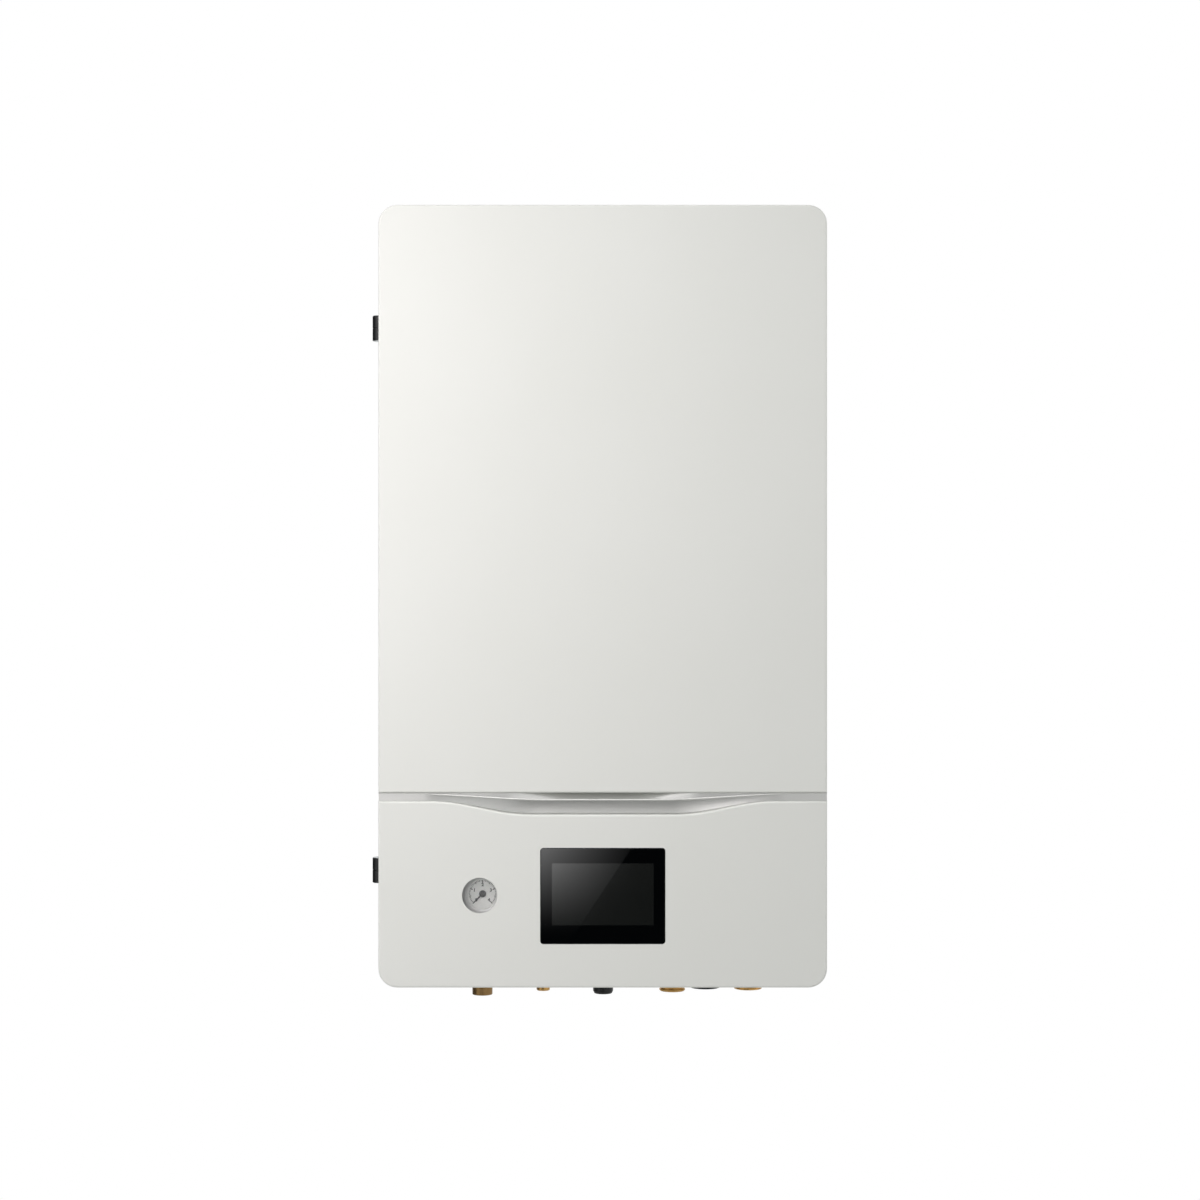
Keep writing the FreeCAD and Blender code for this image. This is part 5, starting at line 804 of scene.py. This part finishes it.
# %% Pointer of the gauge
# A round boss and a thin tapered needle, pressed from one strip and lacquered black. At rest it lies on 0.
# The boss goes by its y and radius, and the needle by its reach and half its width.
BOSS = ((-294.6, 0.5), (-294.6, 3.5), (-295.7, 3.5), (-296.0, 3.2), (-296.1, 2.0), (-296.1, 0.3))
BOSS_FACETS = 36
NEEDLE = ((1.5, 0.75), (9.0, 0.6), (12.2, 0.45), (13.2, 0.2))
NEEDLE_BACK, NEEDLE_FRONT = -294.8, -295.3
boss_rings = [circle(Vector((DIAL_X, y, DIAL_Z)), RIGHT, UPWARD, [r] * BOSS_FACETS) for y, r in BOSS]
zero = scale_angle(0)
along, across = Vector((math.cos(zero), 0, math.sin(zero))), Vector((math.sin(zero), 0, -math.cos(zero)))
needle_rings = []
for reach, half in NEEDLE:
    middle = Vector((DIAL_X, 0, DIAL_Z)) + along * reach
    corners = ((-half, NEEDLE_BACK), (half, NEEDLE_BACK), (half, NEEDLE_FRONT), (-half, NEEDLE_FRONT))
    needle_rings.append([middle + across * side + BACKWARD * y for side, y in corners])
pointer = loft("pressure_pointer", [boss_rings, needle_rings], ink, "gauge_pointer")
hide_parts("gauge_pointer")

# %% [markdown]
# Pipe connections. Brass and bronze stubs stand under the casing for the installer's pipes. On the real ones
# a thread is cut in a lathe, a locknut clamps the stub to the bottom plate, and a hexagon inside takes the
# spanner. A thread could be a bump in the material, but its crests catch the light on the silhouette, so
# each stub is turned from rings of points: a thread's ring is pushed in by the height of the helix at each
# point, and a nut's ring follows six flats with the corners cut back to a circle.

# %% Rings of a turned fitting
CASE_BOTTOM, SEAT, HEX_TOP, CUP_TOP = -710, -707.3, -695.3, -685.3
LOCKNUT = CASE_BOTTOM - 4
PIPE_DEPTH = -110
THREAD_DEPTH, RINGS_PER_TURN, LEAD_IN = 0.55, 6, 1
NUT_CORNER, NUT_FACE, NUT_CHAMFER = 1.12, 0.97, 0.7
BORE_LEAD, CUP_WALL = 1.2, 2


def round_ring(x, z, radius):
    """One plain ring round an upright axis."""
    return circle(Vector((x, PIPE_DEPTH, z)), RIGHT, BACKWARD, [radius] * FACETS)


def nut(x, low, high, flats):
    """The rings of a nut with chamfered ends. Its corners are cut back to a circle."""
    half = flats / 2
    turns = [360 * k / FACETS for k in range(FACETS)]
    flat_radii = [half / math.cos(math.radians((turn + 30) % 60 - 30)) for turn in turns]
    radii = [min(radius, half * NUT_CORNER) for radius in flat_radii]
    sides = [circle(Vector((x, PIPE_DEPTH, z)), RIGHT, BACKWARD, radii)
             for z in (low + NUT_CHAMFER, high - NUT_CHAMFER)]
    return [round_ring(x, low, half * NUT_FACE), *sides, round_ring(x, high, half * NUT_FACE)]


def thread(x, low, high, radius, pitch):
    """The rings of a thread with a chamfer at its lower end. The helix rises once round each ring."""
    count = round(RINGS_PER_TURN * (high - low) / pitch)
    rings = []
    for k in range(count + 1):
        z = low + (high - low) * k / count
        crest = radius - max(0, LEAD_IN - (z - low))
        valleys = [abs(2 * ((z / pitch + i / FACETS) % 1) - 1) for i in range(FACETS)]
        radii = [crest - THREAD_DEPTH * pitch * valley for valley in valleys]
        rings.append(circle(Vector((x, PIPE_DEPTH, z)), RIGHT, BACKWARD, radii))
    return rings


def fitting(x, nose, thread_start, radius, pitch, locknut, hexagon, collar, bore):
    """The rings of a whole stub: down the bore, over the end, up the nose, thread, nuts and brazing cup."""
    rings = [round_ring(x, HEX_TOP, bore), round_ring(x, nose[0][0] + BORE_LEAD, bore)]
    rings += [round_ring(x, z, r) for z, r in nose]
    rings += thread(x, thread_start, LOCKNUT, radius, pitch)
    rings += nut(x, LOCKNUT, CASE_BOTTOM, locknut)
    rings += [round_ring(x, CASE_BOTTOM, radius), round_ring(x, SEAT, radius)]
    rings += nut(x, SEAT, HEX_TOP, hexagon)
    rings += [round_ring(x, HEX_TOP, collar), round_ring(x, CUP_TOP, collar)]
    return rings + [round_ring(x, CUP_TOP, collar - CUP_WALL), round_ring(x, HEX_TOP, collar - CUP_WALL)]


print("points in a ring:", FACETS)

# %% Flare stubs of the refrigerant
# The gas stub is bronze with a long plain cone, and the liquid stub is brass. A nose is a list of z and
# radius.
GAS_NOSE = ((-749.2, 8.2), (-749.2, 10.4), (-748.7, 10.9), (-723.5, 11.2))
LIQUID_NOSE = ((-744.7, 4.6), (-744.7, 6.6), (-743.9, 7.2), (-740.7, 7.2))
gas = fitting(x=-127.98, nose=GAS_NOSE, thread_start=-723, radius=11.3, pitch=1.8, locknut=30.2,
              hexagon=27, collar=9.95, bore=6.95)
liquid = fitting(x=-62.01, nose=LIQUID_NOSE, thread_start=-740.3, radius=7.95, pitch=1.5, locknut=23.9,
                 hexagon=19, collar=6.75, bore=3.75)
flare_stubs = loft("flare_stubs", [gas, liquid], bronze, "cabinet")
flare_stubs.data.materials.append(brass)
# The gas stub's faces come first: its sides and two caps.
gas_faces = (len(gas) - 1) * FACETS + 2
for face in flare_stubs.data.polygons[gas_faces:]:
    face.material_index = 1
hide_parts("flare_unions")

# %% Water stubs
# One-inch pipe threads have 11 turns to the inch. The return stub ends in a nose with rounded rings.
INCH_PIPE = {"radius": 16.6, "pitch": 2.31, "locknut": 41.2, "hexagon": 38, "collar": 13, "bore": 10}
NOSE_END, NOSE_TOP, NOSE_RINGS = -745, 9.2, 3
RING_GAP, RING_START, RING_WIDTH, RING_ROOT, RING_RISE, RING_STEPS = 3, 0.2, 2.6, 13.1, 1.0, 8
ROUNDNESS = 0.6
return_nose = [(NOSE_END, 11.2), (NOSE_END, 13.2)]
for ring in range(NOSE_RINGS):
    for k in range(RING_STEPS + 1):
        bulge = math.sin(math.pi * k / RING_STEPS) ** ROUNDNESS
        height = NOSE_END + RING_GAP * ring + RING_START + RING_WIDTH * k / RING_STEPS
        return_nose.append((height, RING_ROOT + RING_RISE * bulge))
return_nose.append((NOSE_END + NOSE_TOP, 13.4))
return_rings = fitting(x=77.985, nose=return_nose, thread_start=-735.6, **INCH_PIPE)
return_stub = loft("water_return_stub", [return_rings], brass, "cabinet")
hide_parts("water_return_nipple")
SUPPLY_NOSE = ((-742.8, 11.6), (-742.8, 14.6), (-742.1, 15.3))
supply_rings = fitting(x=160.02, nose=SUPPLY_NOSE, thread_start=-741.8, **INCH_PIPE)
supply_stub = loft("water_supply_stub", [supply_rings], brass, "cabinet")
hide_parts("water_supply_nipple")

# %% [markdown]
# Hinge caps. The black hinge knuckles are nylon, and their ends are closed by small pressed caps of bright
# zinc that hide the pin. They are thin, so they are lathed from a short outline: a flat foot on the knuckle,
# a rounded edge and a slightly domed middle. The caps on the upper ends turn with the door and those on the
# lower ends stay with the casing, so there are two pieces.

# %% Caps on the knuckles
# Each end goes by its height and the way it faces, and the cap's outline by radius and rise.
HINGE = Vector((-225, -266.7, 0))
KNUCKLE_ENDS = {"cabinet": ((-57, -1), (-609, -1)), "door": ((-32, 1), (-584, 1))}
CAP = ((8.75, 0), (8.8, 0.2), (8.6, 0.4), (8.0, 0.52), (4.0, 0.62), (0.6, 0.66))
for body, ends in KNUCKLE_ENDS.items():
    caps = []
    for end, way in ends:
        caps.append([circle(HINGE + UPWARD * (end + way * rise), RIGHT, BACKWARD, [r] * FACETS)
                     for r, rise in CAP])
    loft("hinge_caps_on_" + body, caps, zinc_plate, body)

# %% [markdown]
# Screws. Pan-head sheet-metal screws hold the casing's folds at the top and the bottom, and four more hold
# the cover of the control box. A plain disc would read as a rivet, so each head is lathed with a domed crown
# and a cross-shaped recess: the ring at the recess follows four lobes, and the last ring is its floor.

# %% Pan heads with a cross recess
# The crown goes by radius and rise, and the recess by the scale of its lobes and rise.
CROWN = ((4.0, 0.0), (4.0, 0.5), (3.75, 1.2), (3.1, 1.8), (2.2, 2.1), (1.75, 2.15))
RECESS = ((1.0, 2.15), (0.9, 1.0))
LOBE_ROOT, LOBE_RISE = 0.6, 0.95
LOBES = [LOBE_ROOT + LOBE_RISE * abs(math.cos(2 * math.tau * k / FACETS)) ** 3 for k in range(FACETS)]


def screws(name, places, across, up):
    """One piece from several heads; each place comes with the direction that its head faces."""
    heads = []
    for spot, out in places:
        middle, outward = Vector(spot), Vector(out)
        rings = [circle(middle + outward * rise, across, up, [r] * FACETS) for r, rise in CROWN]
        for scale, rise in RECESS:
            rings.append(circle(middle + outward * rise, across, up, [scale * lobe for lobe in LOBES]))
        heads.append(rings)
    return loft(name, heads, zinc_plate, "cabinet")


SCREW_X, SCREW_Y = (-201, 201), (-59, -220.4)
FOLDS = ((75, 1), (CASE_BOTTOM, -1))
casing = [((x, y, z), (0, 0, way)) for x in SCREW_X for y in SCREW_Y for z, way in FOLDS]
heads = screws("casing_screws", casing, RIGHT, BACKWARD)
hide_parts("case_screws")
print("casing screws:", len(casing))

# %% Screws of the control box cover
cover_low, cover_high = (Vector(corner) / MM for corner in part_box("control_box_cover"))
COVER_INSET = 24
columns = (cover_low.x + COVER_INSET, cover_high.x - COVER_INSET)
rows = (cover_low.z + COVER_INSET, cover_high.z - COVER_INSET)
cover_spots = [((x, cover_low.y, z), (0, -1, 0)) for x in columns for z in rows]
screws("cover_screws", cover_spots, RIGHT, UPWARD)
print("cover screws at", [tuple(round(v) for v in spot) for spot, out in cover_spots])
